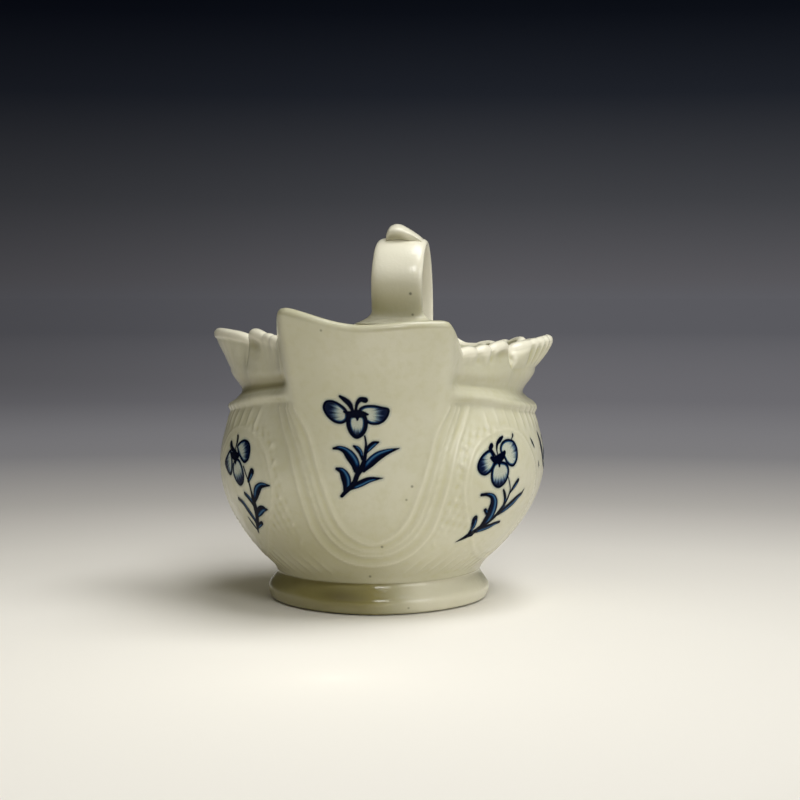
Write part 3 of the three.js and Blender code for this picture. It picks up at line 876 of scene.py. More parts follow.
# Painted highlight along the rounded rim of the shells.
body_thin_glaze_and_light[first:first + rim_stain.size] = np.tile(shell_rim_top_highlight * on_shell(columns), rim_rows)
body_faces = skin_faces(len(rings), len(columns))
body_values = {"thin": body_thin_glaze_and_light, "stain": body_stain_and_shade}
body = mesh_piece("moulded_body", body_points, body_faces, glaze, body_values)
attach(body, "root")
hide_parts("body")


# Painted sprigs: one blue flower sprig on the spout's panel and one in each of the four moulded
# ovals. They are brushed in cobalt on the biscuit under the glaze: dark outlines, paler washes.
# A sprig is drawn on the unrolled face, in millimetres across and up from its own middle. A
# stroke is its points, and its half-width at the start, the middle and the end; a leaf has a
# pale streak beside its dark edge.
sprig_step, sprig_margin, sprig_proud = 0.11, 0.9, 0.06
brush_edge, wash_reach, wash_ink, streak_depth, brush_spread = 0.1, 0.36, 0.93, 0.5, 1.25
halo_share, halo_reach = 0.2, 0.6
brush_hairs, hair_depth = [(31, 0.6, 0), (53, 0.4, 1.3)], 0.08
soft_edge, soft_ink, pale_cover, wash_cover, opaque_cover = 0.35, 0.8, 0.3, 0.65, 0.9
streak_place, streak_width, streak_ends, streak_least_half = 0.4, 0.3, ((0.05, 0.2), (0.75, 0.95)), 0.4

panel_sprig = {
    "place": (-1.8, 34.33),
    "heart": (-0.1, 6.1),
    "petals": [
        ([(-2, 6.2), (-2.3, 7), (-3.5, 8.1), (-4.9, 8.7), (-6.1, 8.5), (-6.6, 7.4), (-6.2, 6.2),
          (-5.4, 5.2), (-4.3, 4.5), (-3.1, 4.4), (-2.2, 5)], 0.46, 0.28),
        ([(0.7, 6.4), (0.5, 7.1), (1.4, 7.7), (3, 7.8), (4.5, 7.5), (5.8, 7.1), (5.7, 6.2), (5, 5),
          (3.9, 4.3), (2.3, 4.3), (1.4, 5)], 0.46, 0.26),
        ([(-1.6, 5.6), (-1.9, 4.4), (-1.7, 3.2), (-1.2, 2.2), (-0.4, 1.6), (0.6, 2.1), (1.3, 3.2),
          (1.5, 4.5), (1.2, 5.7), (-0.1, 6)], 0.55, 0.42),
    ],
    "strokes": [
        [(-2.6, 6.6, 0.2), (-1.5, 6.2, 0.5), (-0.2, 6.2, 0.72), (1, 6.2, 0.5), (1.9, 6.1, 0.2)],
        [(-0.1, 5.8, 0.45), (-0.1, 5, 0.2)],
        [(-1, 7, 0.28), (-1.5, 8.2, 0.45), (-2.4, 9.1, 0.42), (-3.2, 9.7, 0.26)],
        [(-0.3, 7.1, 0.22), (0, 8.3, 0.3), (0.7, 9.1, 0.42), (1.5, 9, 0.5)],
        [(1.2, 1.8, 0.15), (1.4, 0.3, 0.2), (1.3, -1.1, 0.28), (1.1, -2.5, 0.32), (0.6, -4.2, 0.45),
         (-0.3, -5.6, 0.42), (-0.9, -7.1, 0.4), (-1.8, -8.2, 0.42), (-2.7, -9.1, 0.36), (-3.4, -9.9, 0.3)],
    ],
    "leaves": [
        [(1.4, -1.4, 0.25), (2, -0.5, 0.45), (2.9, 0.3, 0.45), (3.7, 0.6, 0.2)],
        [(7.6, -0.6, 0.1), (5.5, -1.2, 0.46), (3.6, -2.1, 0.72), (2, -3.5, 0.7), (0.9, -4.9, 0.3)],
        [(-0.5, -4.8, 0.5), (-0.8, -3.4, 0.75), (-1.7, -2, 0.8), (-2.7, -1, 0.55), (-3.8, -0.6, 0.38),
         (-4.9, -0.7, 0.2)],
        [(0.6, -2.7, 0.2), (0.3, -1.4, 0.4), (-0.3, -0.6, 0.4), (-0.9, -0.2, 0.22)],
        [(-2.7, -9.1, 0.35), (-2.4, -7.6, 0.65), (-2.6, -6.2, 0.78), (-3.3, -5, 0.55), (-4.3, -4.6, 0.26)],
        [(-1.6, -8.3, 0.35), (0.2, -7.4, 0.55), (2, -6.6, 0.46), (4.4, -6.3, 0.1)],
    ],
}
oval_sprig = {
    "place": (43.8, 25.33),
    "heart": (0.3, 5.5),
    "petals": [
        ([(-1.8, 7.3), (-3.4, 6.7), (-4.6, 5.6), (-5.1, 4.4), (-4.6, 3.3), (-3.4, 2.8), (-2.3, 3.2),
          (-1.4, 4), (-0.8, 5.1), (-1, 6.3)], 0.48, 0.26),
        ([(1.2, 7.2), (1.6, 8.3), (2.8, 9), (4.3, 9.1), (5.8, 8.6), (6.5, 7.5), (6.5, 6.2), (6, 5),
          (4.9, 4.1), (3.7, 4.2), (2.7, 4.9), (2, 6)], 0.66, 0.25),
        ([(1.2, 4.9), (2.5, 4.5), (3.2, 3.4), (3, 2), (2.2, 0.8), (0.7, 0.1), (-0.7, 0.6), (-1.5, 1.7),
          (-1.6, 3.2), (-1.1, 4.4), (-0.1, 5)], 0.56, 0.27),
    ],
    "strokes": [
        [(-1.6, 5.9, 0.3), (-0.7, 5.5, 0.6), (0.5, 5.7, 0.7), (1.6, 6.2, 0.6), (2.3, 6.8, 0.35)],
        [(0, 5.7, 0.5), (0.4, 5, 0.45), (0.5, 4.2, 0.2)],
        [(0.3, 6.1, 0.12), (0.1, 7.3, 0.16), (0.5, 8.6, 0.3), (1.4, 9.3, 0.42), (2.2, 9.8, 0.24)],
        [(-0.3, 6.1, 0.15), (-1.1, 7.1, 0.25), (-1.6, 7.7, 0.4), (-1.2, 8.3, 0.45)],
        [(5.8, 10.1, 0.2), (5.2, 9.3, 0.14)],
        [(3.1, 2.1, 0.12), (4, 0.4, 0.14), (4.4, -0.7, 0.14), (4.3, -1.8, 0.2), (3.9, -3.1, 0.25),
         (2.8, -4.8, 0.35), (1.6, -6.4, 0.35), (0.1, -7.7, 0.3), (-1.9, -8.8, 0.45), (-3.6, -10.2, 0.5),
         (-4.7, -11, 0.32), (-5.9, -11.7, 0.1)],
    ],
    "leaves": [
        [(4.5, -1.5, 0.14), (5.2, -0.6, 0.32), (6.1, 0.3, 0.42), (6.8, 1, 0.36)],
        [(2.4, -5.8, 0.3), (4.1, -4.9, 0.5), (6.1, -3.7, 0.62), (8, -2.5, 0.46), (9.3, -1.9, 0.26),
         (10, -1.1, 0.1)],
        [(2.9, -5, 0.3), (3.5, -3.9, 0.38), (3.3, -2.5, 0.32), (2.7, -1.3, 0.3), (2.2, -0.6, 0.2)],
        [(-1.5, -8.7, 0.4), (-0.5, -7.4, 0.85), (0.1, -5.8, 1), (0.2, -4.2, 1), (0, -2.8, 0.8),
         (-0.8, -1.7, 0.5), (-2.3, -1.2, 0.32), (-3.7, -1.2, 0.28)],
        [(-0.5, -5.7, 0.38), (-1.8, -4.5, 0.34)],
        [(-3.8, -9.7, 0.2), (-3.6, -8.4, 0.42), (-3.6, -7.1, 0.58), (-3.8, -6.2, 0.55)],
        [(-2.8, -9.4, 0.3), (-0.8, -9, 0.55), (1.3, -8.5, 0.5), (2.8, -8, 0.36), (4, -7.8, 0.28)],
    ],
}
left_oval_sprig = {
    "place": (-45.6, 24.7),
    "heart": (-3.1, 6.2),
    "petals": [
        ([(-2.7, 8.1), (-1.8, 9), (-0.2, 9.5), (1.3, 9.2), (2.1, 8.3), (2.3, 7), (2, 5.9), (0.9, 5.3),
          (-0.2, 5.7), (-1.6, 6.8)], 0.5, 0.26),
        ([(-6.1, 7), (-7.9, 5.6), (-8.9, 4.4), (-7.8, 3.3), (-5.9, 2.4), (-5, 2.8), (-4.5, 4.4),
          (-4.9, 5.8)], 0.5, 0.3),
        ([(-2.9, 5.5), (-3.8, 4.6), (-4, 3.5), (-3.6, 2.1), (-2.6, 1.1), (-1.4, 0.6), (-0.1, 1.2),
          (0.4, 2.4), (0.1, 3.8), (-0.7, 5), (-1.8, 5.6)], 0.52, 0.24),
    ],
    "strokes": [
        [(-5.2, 6.4, 0.4), (-3.4, 6.2, 0.75), (-2, 6.4, 0.5)],
        [(-3.4, 7.1, 0.35), (-2.9, 6, 0.6), (-2.8, 4.9, 0.28)],
        [(-3.9, 7.2, 0.3), (-5.5, 7.7, 0.5), (-6.3, 8.5, 0.5)],
        [(-3.5, 7.6, 0.14), (-3.2, 8.9, 0.3), (-3.3, 10.1, 0.34)],
        [(0.5, 4.4, 0.15), (1.4, 2.8, 0.15), (2.2, 1.2, 0.2), (2.5, -0.5, 0.25), (2.6, -2.2, 0.5),
         (2.5, -4.1, 0.55), (1.9, -6.1, 0.45), (0.7, -7.9, 0.4), (-0.5, -9.9, 0.14)],
    ],
    "leaves": [
        [(2, 1.6, 0.3), (2.7, 2.6, 0.5), (3.4, 3.6, 0.58)],
        [(8.4, 1.2, 0.14), (7.2, 1.2, 0.34), (5.8, 1, 0.55), (4.6, 0.1, 0.78), (3.7, -1.3, 0.6),
         (2.6, -2.8, 0.3)],
        [(2.4, -3.8, 0.3), (1.8, -2.5, 0.45), (0.8, -1.6, 0.42), (0, -1.1, 0.36)],
        [(0.9, -7.7, 0.35), (0.3, -6.1, 0.5), (-0.7, -4.6, 0.5), (-1.7, -3.3, 0.42), (-3.4, -2.5, 0.36)],
        [(2, -5.9, 0.3), (3.4, -4.7, 0.7), (4.8, -3.9, 0.66), (6.3, -3.8, 0.2)],
        [(-0.3, -9.2, 0.2), (-1, -7.9, 0.25), (-1.8, -6.5, 0.15)],
        [(-0.2, -9, 0.2), (1.4, -8, 0.4), (2.9, -7.2, 0.38)],
    ],
}
side_sprig = {
    "place": (84, 29.5),
    "heart": (3.4, 2.2),
    "petals": [
        ([(1.6, 2.6), (2.2, 4), (3.6, 4.4), (5, 3.8), (5.4, 2.4), (4.6, 1), (3.2, 0.6), (2, 1.2)], 0.4, 0.25),
    ],
    "strokes": [
        [(-10.2, 4.6, 0.12), (-9.6, 3.7, 0.28), (-9, 2.8, 0.14)],
        [(-3.6, 5.2, 0.3), (-2.8, 3.4, 0.65), (-2.4, 1.4, 0.75), (-1.8, -0.6, 0.5), (1.6, -2.4, 0.3)],
        [(-7, -0.4, 0.14), (-6.8, -1.1, 0.2)],
    ],
    "leaves": [
        [(4.6, -4.6, 0.15), (3.4, -2.6, 0.5), (3.2, -1, 0.3)],
        [(-1.8, -0.6, 0.3), (0.2, 0.6, 0.5), (1.8, 2.2, 0.3)],
    ],
}


def unrolled(place, across, up):
    """Angles and heights of a grid of points that are given across and up the face from a place."""
    middle_angle, middle_z = place
    z = np.linspace(foot_height + 0.5, lip_height - 4, 500)
    climb = on_wall(np.stack([np.full_like(z, middle_angle), z], -1))
    run = np.concatenate([[0], np.cumsum(np.linalg.norm(np.diff(climb, axis=0), axis=1))])
    heights = np.interp(up + np.interp(middle_z, z, run), run, z)
    round_angles = middle_angle + np.linspace(-45, 45, 361)
    row_angle, row_z = np.meshgrid(round_angles, heights)
    rows = wall_point(row_angle, level_at(row_angle, row_z))
    steps = np.linalg.norm(np.diff(rows, axis=1), axis=-1)
    run = np.concatenate([np.zeros((len(heights), 1)), np.cumsum(steps, axis=1)], 1)
    run = run - run[:, [len(round_angles) // 2]]
    angles = np.stack([np.interp(across, along, round_angles) for along in run])
    return angles, np.broadcast_to(heights[:, None], angles.shape)


def along_line(spots, line):
    """For each spot: its distance from a line, its share along it and the side it lies on."""
    distance, at = nearest(spots, line)
    heading = np.gradient(line, axis=0)[at]
    aside = spots - line[at]
    side = np.sign(heading[:, 0] * aside[:, 1] - heading[:, 1] * aside[:, 0])
    return distance, at / (len(line) - 1), side


def painted(sprig, spots):
    """How much paint lies on each spot, and how dark it is."""
    cover, ink = np.zeros(len(spots)), np.zeros(len(spots))
    away = np.full(len(spots), np.inf)
    heart = np.array(sprig["heart"])
    spoke = spots - heart
    bearing = np.arctan2(spoke[:, 1], spoke[:, 0])
    streaks = sum(share * np.sin(bearing * count + shift) for count, share, shift in brush_hairs)
    for outline, wash_start, half in sprig["petals"]:
        loop = curve_through([*outline[-2:], *outline, *outline[:2]], 12)[24:-12]
        distance, _, side = along_line(spots, loop)
        area = np.sum(loop[:-1, 0] * loop[1:, 1] - loop[1:, 0] * loop[:-1, 1])
        inside = (side * np.sign(area) > 0) * 1.0
        reach = np.linalg.norm(loop - heart, axis=1).max()
        outer = np.linalg.norm(spoke, axis=1) / reach
        wash = smooth(outer + hair_depth * streaks, wash_start, wash_start + wash_reach)
        edge = 1 - smooth(distance, half - brush_edge, half + brush_edge)
        soft = 1 - smooth(distance, half, half + soft_edge)
        washed = inside * (pale_cover + wash_cover * np.maximum(wash, soft))
        cover = np.maximum(cover, np.maximum(washed, edge))
        ink = np.maximum(ink, np.maximum(inside * wash_ink * np.maximum(wash, soft * soft_ink), edge))
        away = np.minimum(away, distance - half)
    for kind, depth in (("strokes", 0), ("leaves", streak_depth)):
        for points in sprig[kind]:
            line = curve_through(points, 10)
            distance, share, side = along_line(spots, line[:, :2])
            half = np.interp(share, np.linspace(0, 1, len(line)), line[:, 2]) * brush_spread
            full = 1 - smooth(distance, half - brush_edge, half + brush_edge)
            streak = np.exp(-((side * distance / half + streak_place) / streak_width) ** 2)
            tone = 1 - depth * streak * band(share, *streak_ends) * (half > streak_least_half)
            over_paint = np.where(cover > opaque_cover, np.maximum(ink, tone), tone)
            ink = np.where(full > 0.5, over_paint, np.maximum(ink, full))
            cover = np.maximum(cover, full)
            away = np.minimum(away, distance - half)
    halo = halo_share * (1 - smooth(away, 0, halo_reach))
    return np.maximum(cover, halo), ink


def mirrored(sprig, flipped, behind):
    """The same sprig on another quarter of the boat."""
    angle, z = sprig["place"]
    side = -1 if flipped else 1
    flip = -1 if flipped != behind else 1

    def flipped_line(line):
        return [(flip * point[0], *point[1:]) for point in line]

    return {
        "place": (side * (180 - angle if behind else angle), z),
        "heart": (flip * sprig["heart"][0], sprig["heart"][1]),
        "petals": [(flipped_line(petal), start, half) for petal, start, half in sprig["petals"]],
        "strokes": [flipped_line(line) for line in sprig["strokes"]],
        "leaves": [flipped_line(line) for line in sprig["leaves"]],
    }


def sprig_patch(name, sprig):
    """A very fine skin over the glaze where the sprig is painted, with its paint kept on its points."""
    spans = [petal[0] for petal in sprig["petals"]] + sprig["strokes"] + sprig["leaves"]
    spans = np.concatenate([np.array(span)[:, :2] for span in spans])
    low, high = spans.min(0) - sprig_margin, spans.max(0) + sprig_margin
    across = np.arange(low[0], high[0], sprig_step)
    up = np.arange(low[1], high[1], sprig_step)
    spots = np.stack(np.meshgrid(across, up), -1).reshape(-1, 2)
    cover, ink = painted(sprig, spots)
    angles, heights = unrolled(sprig["place"], across, up)
    levels = level_at(angles, heights)
    face = wall_point(angles, levels)
    out = wall_frame(angles, levels, plain=False)[0]
    face = face + out * relief(angles, levels, face)[..., None]
    index = np.arange(angles.size).reshape(angles.shape)
    cells = np.stack([index[:-1, :-1], index[:-1, 1:], index[1:, 1:], index[1:, :-1]], -1).reshape(-1, 4)
    cells = cells[cover[cells].max(1) > 0.01]
    used, cells = np.unique(cells, return_inverse=True)
    cells = cells.reshape(-1, 4)
    count = len(used)
    top = face.reshape(-1, 3)[used] + out.reshape(-1, 3)[used] * sprig_proud
    bottom = face.reshape(-1, 3)[used] - out.reshape(-1, 3)[used] * sprig_proud
    edges = {(int(cell[k]), int(cell[(k + 1) % 4])) for cell in cells for k in range(4)}
    rim_edges = sorted(edge for edge in edges if edge[::-1] not in edges)
    sides = [(b, a, a + count, b + count) for a, b in rim_edges]
    faces = cells.tolist() + (cells[:, ::-1] + count).tolist() + sides
    values = {"cover": np.tile(cover[used], 2), "ink": np.tile(ink[used], 2)}
    patch = mesh_piece(name, np.concatenate([top, bottom]), faces, cobalt, values)
    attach(patch, "root")
    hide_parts("body")


cobalt_stops = [
    (0, (190, 204, 202)),
    (0.3, (108, 142, 158)),
    (0.6, (22, 68, 106)),
    (0.85, (4, 22, 60)),
    (1, (1, 5, 24)),
]
cobalt_gloss = 0.04

cobalt, tree = new_material("cobalt_under_glaze")
paint = ramp_colour(tree, point_value(tree, "ink"), cobalt_stops)
cover = point_value(tree, "cover")
glazed = {
    "Base Color": paint, "Roughness": glaze_roughness, "Alpha": cover, "Specular IOR Level": cobalt_gloss,
}
shader = add_node(tree, "ShaderNodeBsdfPrincipled", None, glazed)
add_node(tree, "ShaderNodeOutputMaterial", None, {"Surface": shader["BSDF"]})

sprig_patch("panel_sprig", panel_sprig)
sprig_patch("right_sprig", oval_sprig)
sprig_patch("left_sprig", left_oval_sprig)
sprig_patch("side_sprig", side_sprig)
sprig_patch("back_right_sprig", mirrored(oval_sprig, False, True))
sprig_patch("back_left_sprig", mirrored(oval_sprig, True, True))


# Foot: a low splayed ring of its own clay, luted under the bowl and wiped bare where it stands.
# Its outline is given as insets and heights, up the outer face and down inside.
foot_face = [
    (1.7, 0), (0.85, 0.2), (0.5, 0.45), (0.2, 1.2), (0, 2.4),
    (0.2, 3.1), (0.8, 4), (1.45, 4.9), (1.85, 5.7), (1.9, 6.2),
]
foot_back = [(5.5, 6.2), (4.3, 0.6), (3.7, 0)]
foot_seam, foot_seam_half_angle = 0.08, 4
foot_pool_and_shade, foot_pool_and_shade_end, foot_pool_and_shade_start, foot_tint = 0.9, (-2, 26), (-175, -100), 0.1
foot_low_share, foot_low_heights = 0.2, (2.2, 3.4)
foot_worn, foot_worn_heights = 0.5, (0.1, 0.6)
foot_shade_blot, foot_shade_blot_middle, foot_shade_blot_spread = 0.6, (-12, 3.6), (15, 1.8)
foot_lit_side, foot_lit_side_turns = 1.2, ((5, 30), (70, 110))

foot_angles = np.arange(-180, 180, 0.8)
foot_turned = np.radians(foot_angles)
foot_edge = foot_outline(foot_angles) + foot_seam * np.exp(-(foot_angles / foot_seam_half_angle) ** 2)
foot_rows = []
for inset, z in [*curve_through(foot_face, 4), *foot_back]:
    radius = foot_edge - inset
    x, y = base_shift + radius * np.sin(foot_turned), -radius * np.cos(foot_turned)
    foot_rows.append(np.stack([x, y, z + 0 * radius], -1))
foot_rows = np.array(foot_rows)
foot_z = foot_rows[..., 2]
# Glaze pooling and painted shade on the foot's left and front, and a painted shadow patch at its front left;
# the worn brown edge where it stands is real.
foot_stain_and_shade = foot_pool_and_shade * band(foot_angles, foot_pool_and_shade_start, foot_pool_and_shade_end) + foot_tint
foot_stain_and_shade = foot_stain_and_shade * (1 - foot_low_share * (1 - smooth(foot_z, *foot_low_heights)))
foot_stain_and_shade = foot_stain_and_shade + foot_worn * (1 - smooth(foot_z, *foot_worn_heights))
foot_stain_and_shade = foot_stain_and_shade + foot_shade_blot * blot(foot_angles, foot_z, foot_shade_blot_middle, foot_shade_blot_spread)
# Painted light: the foot's right side, towards the lamps, is painted paler.
foot_painted_light = foot_lit_side * band(foot_angles, *foot_lit_side_turns) + 0 * foot_z
foot_faces = skin_faces(len(foot_rows), len(foot_angles), closed=True)
foot_values = {"stain": foot_stain_and_shade, "thin": foot_painted_light}
foot = mesh_piece("foot_ring", foot_rows.reshape(-1, 3), foot_faces, glaze, foot_values)
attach(foot, "root")
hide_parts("foot")


# Handle: a flat strap of pulled clay that springs from the back rim, loops over and comes down
# to the belly. Both its ends are spread and smoothed onto the wall with slip before glazing.
handle_top_height = 75.2
strap_width, strap_thickness, strap_squareness = 11.5, 3.1, 0.55
strap_forward_lean, strap_shift, strap_sway = 4, 0.1, 1.8
strap_root_height, tail_width, tail_height = 3, 9, 28
lute_gap = 0.3
root_fillet, root_fillet_height, tail_fillet = 2.3, 3.4, 1.6
strap_seat, strap_skin, strap_lift, strap_roundness = 0.6, 2.65, 0.75, 0.95
strap_shade_start, strap_shade_end, thin_and_lit_start = (0.001, 0.0045), (0.004, 0.0125), (0.001, 0.012)
strap_shade_middle, strap_shade_slant, side_fillet_share = 0.55, 0.3, 0.7


def even_steps(points, count):
    """The same path with a number of points an equal way apart, and its length."""
    run = np.concatenate([[0], np.cumsum(np.linalg.norm(np.diff(points, axis=0), axis=1))])
    at = np.linspace(0, run[-1], count)
    return np.stack([np.interp(at, run, points[:, k]) for k in range(points.shape[1])], -1), run[-1]


root_y = wall_point(180, 4, plain=True)[1] - wall / 2
root_z = back_rim_height + lute_gap
strap_top = handle_top_height - strap_thickness / 2 + strap_lift
strap_back = handle_reach - strap_thickness / 2
belly_y = wall_point(180, level_at(np.array(180.0), tail_height))[1] + lute_gap
strap_front = root_y - strap_forward_lean
rise, drop = strap_top - root_z, strap_top - tail_height
strap_line = [
    (root_y, root_z),
    (root_y, root_z + 1),
    (root_y - strap_forward_lean * 0.35, root_z + rise * 0.22),
    (strap_front, root_z + rise * 0.54),
    (strap_front + strap_forward_lean * 0.4, root_z + rise * 0.8),
    (strap_front + strap_forward_lean * 1.1, root_z + rise * 0.95),
    (lerp(strap_front, strap_back, 0.42), strap_top),
    (lerp(strap_front, strap_back, 0.75), strap_top - rise * 0.22),
    (strap_back - 0.4, strap_top - drop * 0.27),
    (strap_back - 0.2, strap_top - drop * 0.5),
    (lerp(belly_y, strap_back, 0.72), strap_top - drop * 0.76),
    (lerp(belly_y, strap_back, 0.38), strap_top - drop * 0.93),
    (belly_y + 1.5, tail_height + 0.1),
    (belly_y, tail_height),
]
strap_line = [(strap_shift + strap_sway * smooth(i, 1, 10), y, z) for i, (y, z) in enumerate(strap_line)]
strap_path, strap_length = even_steps(curve_through(strap_line), 400)


def shaping_tree(name, sizes):
    """A Geometry Nodes tree with a named input for each size, and its group input's outputs."""
    tree = bpy.data.node_groups.new(name, "GeometryNodeTree")
    tree.interface.new_socket("Geometry", in_out="INPUT", socket_type="NodeSocketGeometry")
    for size in sizes:
        tree.interface.new_socket(size, in_out="INPUT", socket_type="NodeSocketFloat")
    tree.interface.new_socket("Geometry", in_out="OUTPUT", socket_type="NodeSocketGeometry")
    return tree, add_node(tree, "NodeGroupInput")


def shaped(name, start, tree, sizes):
    """The mesh that a tree makes from a starting mesh, as a new object; the start is removed."""
    modifier = start.modifiers.new("shape", "NODES")
    modifier.node_group = tree
    for item in tree.interface.items_tree:
        if item.in_out == "INPUT" and item.name in sizes:
            modifier[item.identifier] = float(sizes[item.name])
    solved = start.evaluated_get(bpy.context.evaluated_depsgraph_get())
    mesh = bpy.data.meshes.new_from_object(solved)
    start.modifiers.remove(modifier)
    bpy.data.objects.remove(start)
    mesh.name = name
    return shown(name, mesh)


def stored(tree, geometry, name, kind, value):
    """The geometry with a value kept on its points under a name."""
    settings = {"data_type": kind, "domain": "POINT"}
    inputs = {"Geometry": geometry, "Name": name, "Value": value}
    return add_node(tree, "GeometryNodeStoreNamedAttribute", settings, inputs)["Geometry"]


def kept(tree, name, kind):
    """The value that is kept on the points under a name."""
    return add_node(tree, "GeometryNodeInputNamedAttribute", {"data_type": kind}, {"Name": name})["Attribute"]


strap_sizes = {
    "Width": strap_width / 1000,
    "Thickness": strap_skin / 1000,
    "Root Width": strap_root_width / 1000,
    "Root Height": strap_root_height / 1000,
    "Tail Width": tail_width / 1000,
    "Squareness": strap_squareness,
    "Roundness": strap_roundness,
    "Root Fillet": root_fillet / 1000,
    "Tail Fillet": tail_fillet / 1000,
    "Fillet Height": root_fillet_height / 1000,
    "Painted Shade": 0.75,
    "Thin And Lit": 2,
}
tree, sizes = shaping_tree("strap_handle", strap_sizes)
path = add_node(tree, "GeometryNodeMeshToCurve", None, {"Mesh": sizes["Geometry"]})["Curve"]
path = add_node(tree, "GeometryNodeResampleCurve", None, {"Curve": path, "Count": 200})["Curve"]
spline = add_node(tree, "GeometryNodeSplineParameter")
full_length = add_node(tree, "GeometryNodeSplineLength")["Length"]
tangent = add_node(tree, "GeometryNodeInputTangent")["Tangent"]
slope = tangent.parts()
outward = tangent.node("ShaderNodeCombineXYZ", None, {"Y": slope["Z"] * -1, "Z": slope["Y"]})["Vector"]
outward = outward.vector("NORMALIZE")
path = stored(tree, path, "share", "FLOAT", spline["Factor"])
path = stored(tree, path, "from_root", "FLOAT", spline["Length"])
path = stored(tree, path, "from_tail", "FLOAT", full_length - spline["Length"])
path = stored(tree, path, "outward", "FLOAT_VECTOR", outward)
here = add_node(tree, "GeometryNodeInputPosition")["Position"]
path = stored(tree, path, "middle", "FLOAT_VECTOR", here)
circle = {"Resolution": 48, "Radius": 1.0}
section = add_node(tree, "GeometryNodeCurvePrimitiveCircle", {"mode": "RADIUS"}, circle)["Curve"]
section = stored(tree, section, "turn", "FLOAT_VECTOR", here)
swept = {"Curve": path, "Profile Curve": section, "Fill Caps": True}
strap = add_node(tree, "GeometryNodeCurveToMesh", None, swept)["Mesh"]
turn = kept(tree, "turn", "FLOAT_VECTOR").parts()
across = turn["X"].maths("SIGN") * abs(turn["X"]) ** sizes["Squareness"]
through = turn["Y"].maths("SIGN") * abs(turn["Y"]) ** sizes["Roundness"]
from_root, from_tail = kept(tree, "from_root", "FLOAT"), kept(tree, "from_tail", "FLOAT")
flare = (1 - from_root / sizes["Root Height"]).at_least(0) ** 2
root_spread = (1 - from_root / sizes["Fillet Height"]).at_least(0) ** 3
tail_spread = (1 - from_tail / sizes["Fillet Height"]).at_least(0) ** 3
taper = kept(tree, "share", "FLOAT") ** 2
width = sizes["Width"] + (sizes["Root Width"] - sizes["Width"]) * flare
width = width - (sizes["Width"] - sizes["Tail Width"]) * taper
fillet = root_spread * sizes["Root Fillet"] + tail_spread * sizes["Tail Fillet"]
side_fillet = root_spread * sizes["Root Fillet"] * side_fillet_share + tail_spread * sizes["Tail Fillet"]
sideways = across * (width / 2 + side_fillet)
outwards = through * (sizes["Thickness"] / 2 + fillet)
scaled = {0: kept(tree, "outward", "FLOAT_VECTOR"), "Scale": outwards}
lifted = outwards.node("ShaderNodeVectorMath", {"operation": "SCALE"}, scaled)["Vector"]
offset = sideways.node("ShaderNodeCombineXYZ", None, {"X": sideways})["Vector"]
spot = kept(tree, "middle", "FLOAT_VECTOR").vector("ADD", lifted).vector("ADD", offset)
strap = add_node(tree, "GeometryNodeSetPosition", None, {"Geometry": strap, "Position": spot})["Geometry"]
# Painted shade on the strap a little above its root, darker on its left side.
strap_shade = from_root.fade(*strap_shade_start) * (1 - from_root.fade(*strap_shade_end)) * (strap_shade_middle - across * strap_shade_slant)
strap = stored(tree, strap, "stain", "FLOAT", strap_shade * sizes["Painted Shade"])
# Paler from a little above the root, for thinner glaze and as painted light.
strap = stored(tree, strap, "thin", "FLOAT", from_root.fade(*thin_and_lit_start) * sizes["Thin And Lit"])
strap = add_node(tree, "GeometryNodeSetShadeSmooth", None, {"Geometry": strap})["Geometry"]
strap = add_node(tree, "GeometryNodeRealizeInstances", None, {"Geometry": strap})["Geometry"]
strap = add_node(tree, "GeometryNodeSetMaterial", None, {"Geometry": strap, "Material": glaze})["Geometry"]
add_node(tree, "NodeGroupOutput", None, {"Geometry": strap})

sunk_root = [(strap_path[0][0], strap_path[0][1], strap_path[0][2] - strap_seat)]
sunk_tail = [(strap_path[-1][0], strap_path[-1][1] - strap_seat, strap_path[-1][2])]
strap_wire = bpy.data.meshes.new("strap_path")
wire_points = (np.concatenate([sunk_root, strap_path, sunk_tail]) - (0, boat_shift, 0)) / 1000
strap_wire.from_pydata(wire_points.tolist(), [(i, i + 1) for i in range(len(wire_points) - 1)], [])
strap_start = shown("strap_path", strap_wire)
handle = shaped("strap_handle", strap_start, tree, strap_sizes)
for name in ("share", "from_root", "from_tail", "outward", "middle", "turn"):
    handle.data.attributes.remove(handle.data.attributes[name])
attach(handle, "root")
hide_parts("handle")


# Thumb rest: a small leaf-like scroll of clay pressed onto the top of the strap, where the thumb
# bears when the boat is tipped. It is domed on its left and slopes off to the right.
thumb_rest_start, thumb_rest_height, thumb_rest_sink, thumb_rest_seat = 0.244, 3.46, 0.35, 0.8
thumb_pool_and_shade, thumb_pool_and_shade_curl, thumb_pool_and_shade_lift, thumb_pool_and_shade_end = 0.55, (-0.6, 0.5), (0.4, 0.7), (0.5, 3)
thumb_thin_and_lit = 1.6
thumb_rest_roll = [
    (0.9, 0), (0.35, 0.1), (-0.25, 0.26), (-0.6, 0.48), (-0.55, 0.72), (-0.1, 0.92), (0.9, 1), (2.3, 0.99),
    (4, 0.86), (6, 0.55), (7.6, 0.2), (8.3, 0),
]
thumb_rest_outline = [
    (-2.5, 0.08), (-2.42, 0.46), (-1.75, 0.82), (-1, 0.95), (-0.27, 1),
    (0.97, 0.94), (2.3, 0.73), (3.66, 0.48), (4.8, 0.24), (5.7, 0),
]
scroll_columns = 64


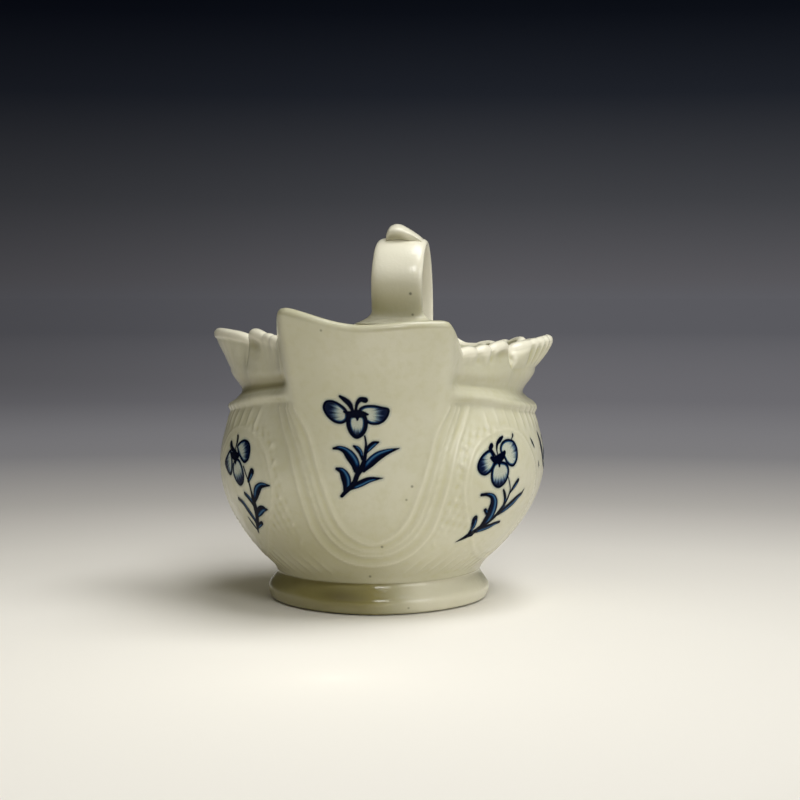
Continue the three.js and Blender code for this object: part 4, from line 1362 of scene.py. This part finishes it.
def strap_frame(share):
    """A point of the strap's middle line, and the direction out of its loop."""
    at = share * (len(strap_path) - 1)
    low = np.clip(at.astype(int), 0, len(strap_path) - 2)
    onward = strap_path[low + 1] - strap_path[low]
    spot = strap_path[low] + onward * (at - low)[..., None]
    outward = np.stack([0 * at, -onward[..., 2], onward[..., 1]], -1)
    return spot, unit(outward)


def scroll_profile(x):
    """The height of the scroll across the strap, as a share of its crest."""
    line = curve_through(thumb_rest_outline, 12)
    return np.interp(x, line[:, 0], line[:, 1])


roll = curve_through(thumb_rest_roll, 6)
forward, lift = roll[:, :1], roll[:, 1:]
scroll_x = np.linspace(thumb_rest_outline[0][0], thumb_rest_outline[-1][0], scroll_columns)[None, :]
forward, lift, scroll_x = np.broadcast_arrays(forward, lift, scroll_x)
spot, outward = strap_frame(thumb_rest_start + np.maximum(forward, 0) / strap_length)
under = spot + outward * (strap_skin / 2 - thumb_rest_seat)
share = scroll_profile(scroll_x)
over = spot + outward * (strap_skin / 2 - thumb_rest_sink + thumb_rest_height * lift * share)[..., None]
over[..., 1] += np.minimum(forward, 0) * share**2
under[..., 0] = scroll_x
over[..., 0] = scroll_x
rings = np.concatenate([over, under[:, ::-1]], 1)
middles = [rings[0].mean(0), rings[-1].mean(0)]
# Glaze pooling and painted shade under the front of the curl, on its left.
thumb_stain_and_shade = thumb_pool_and_shade * smooth(-forward, *thumb_pool_and_shade_curl) * (1 - smooth(lift, *thumb_pool_and_shade_lift))
thumb_stain_and_shade = thumb_stain_and_shade * (1 - smooth(scroll_x, *thumb_pool_and_shade_end))
thumb_stain_and_shade = np.concatenate([np.concatenate([thumb_stain_and_shade, 0 * lift], 1).ravel(), [0, 0]])
# The whole scroll is paler, for thinner glaze and as painted light.
thumb_values = {"stain": thumb_stain_and_shade, "thin": np.full(len(thumb_stain_and_shade), thumb_thin_and_lit)}
thumb_points = np.concatenate([rings.reshape(-1, 3), middles])
thumb_faces = skin_faces(len(roll), 2 * scroll_columns)
thumb_rest = mesh_piece("thumb_scroll", thumb_points, thumb_faces, glaze, thumb_values)
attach(thumb_rest, "root")
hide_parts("thumb_rest")
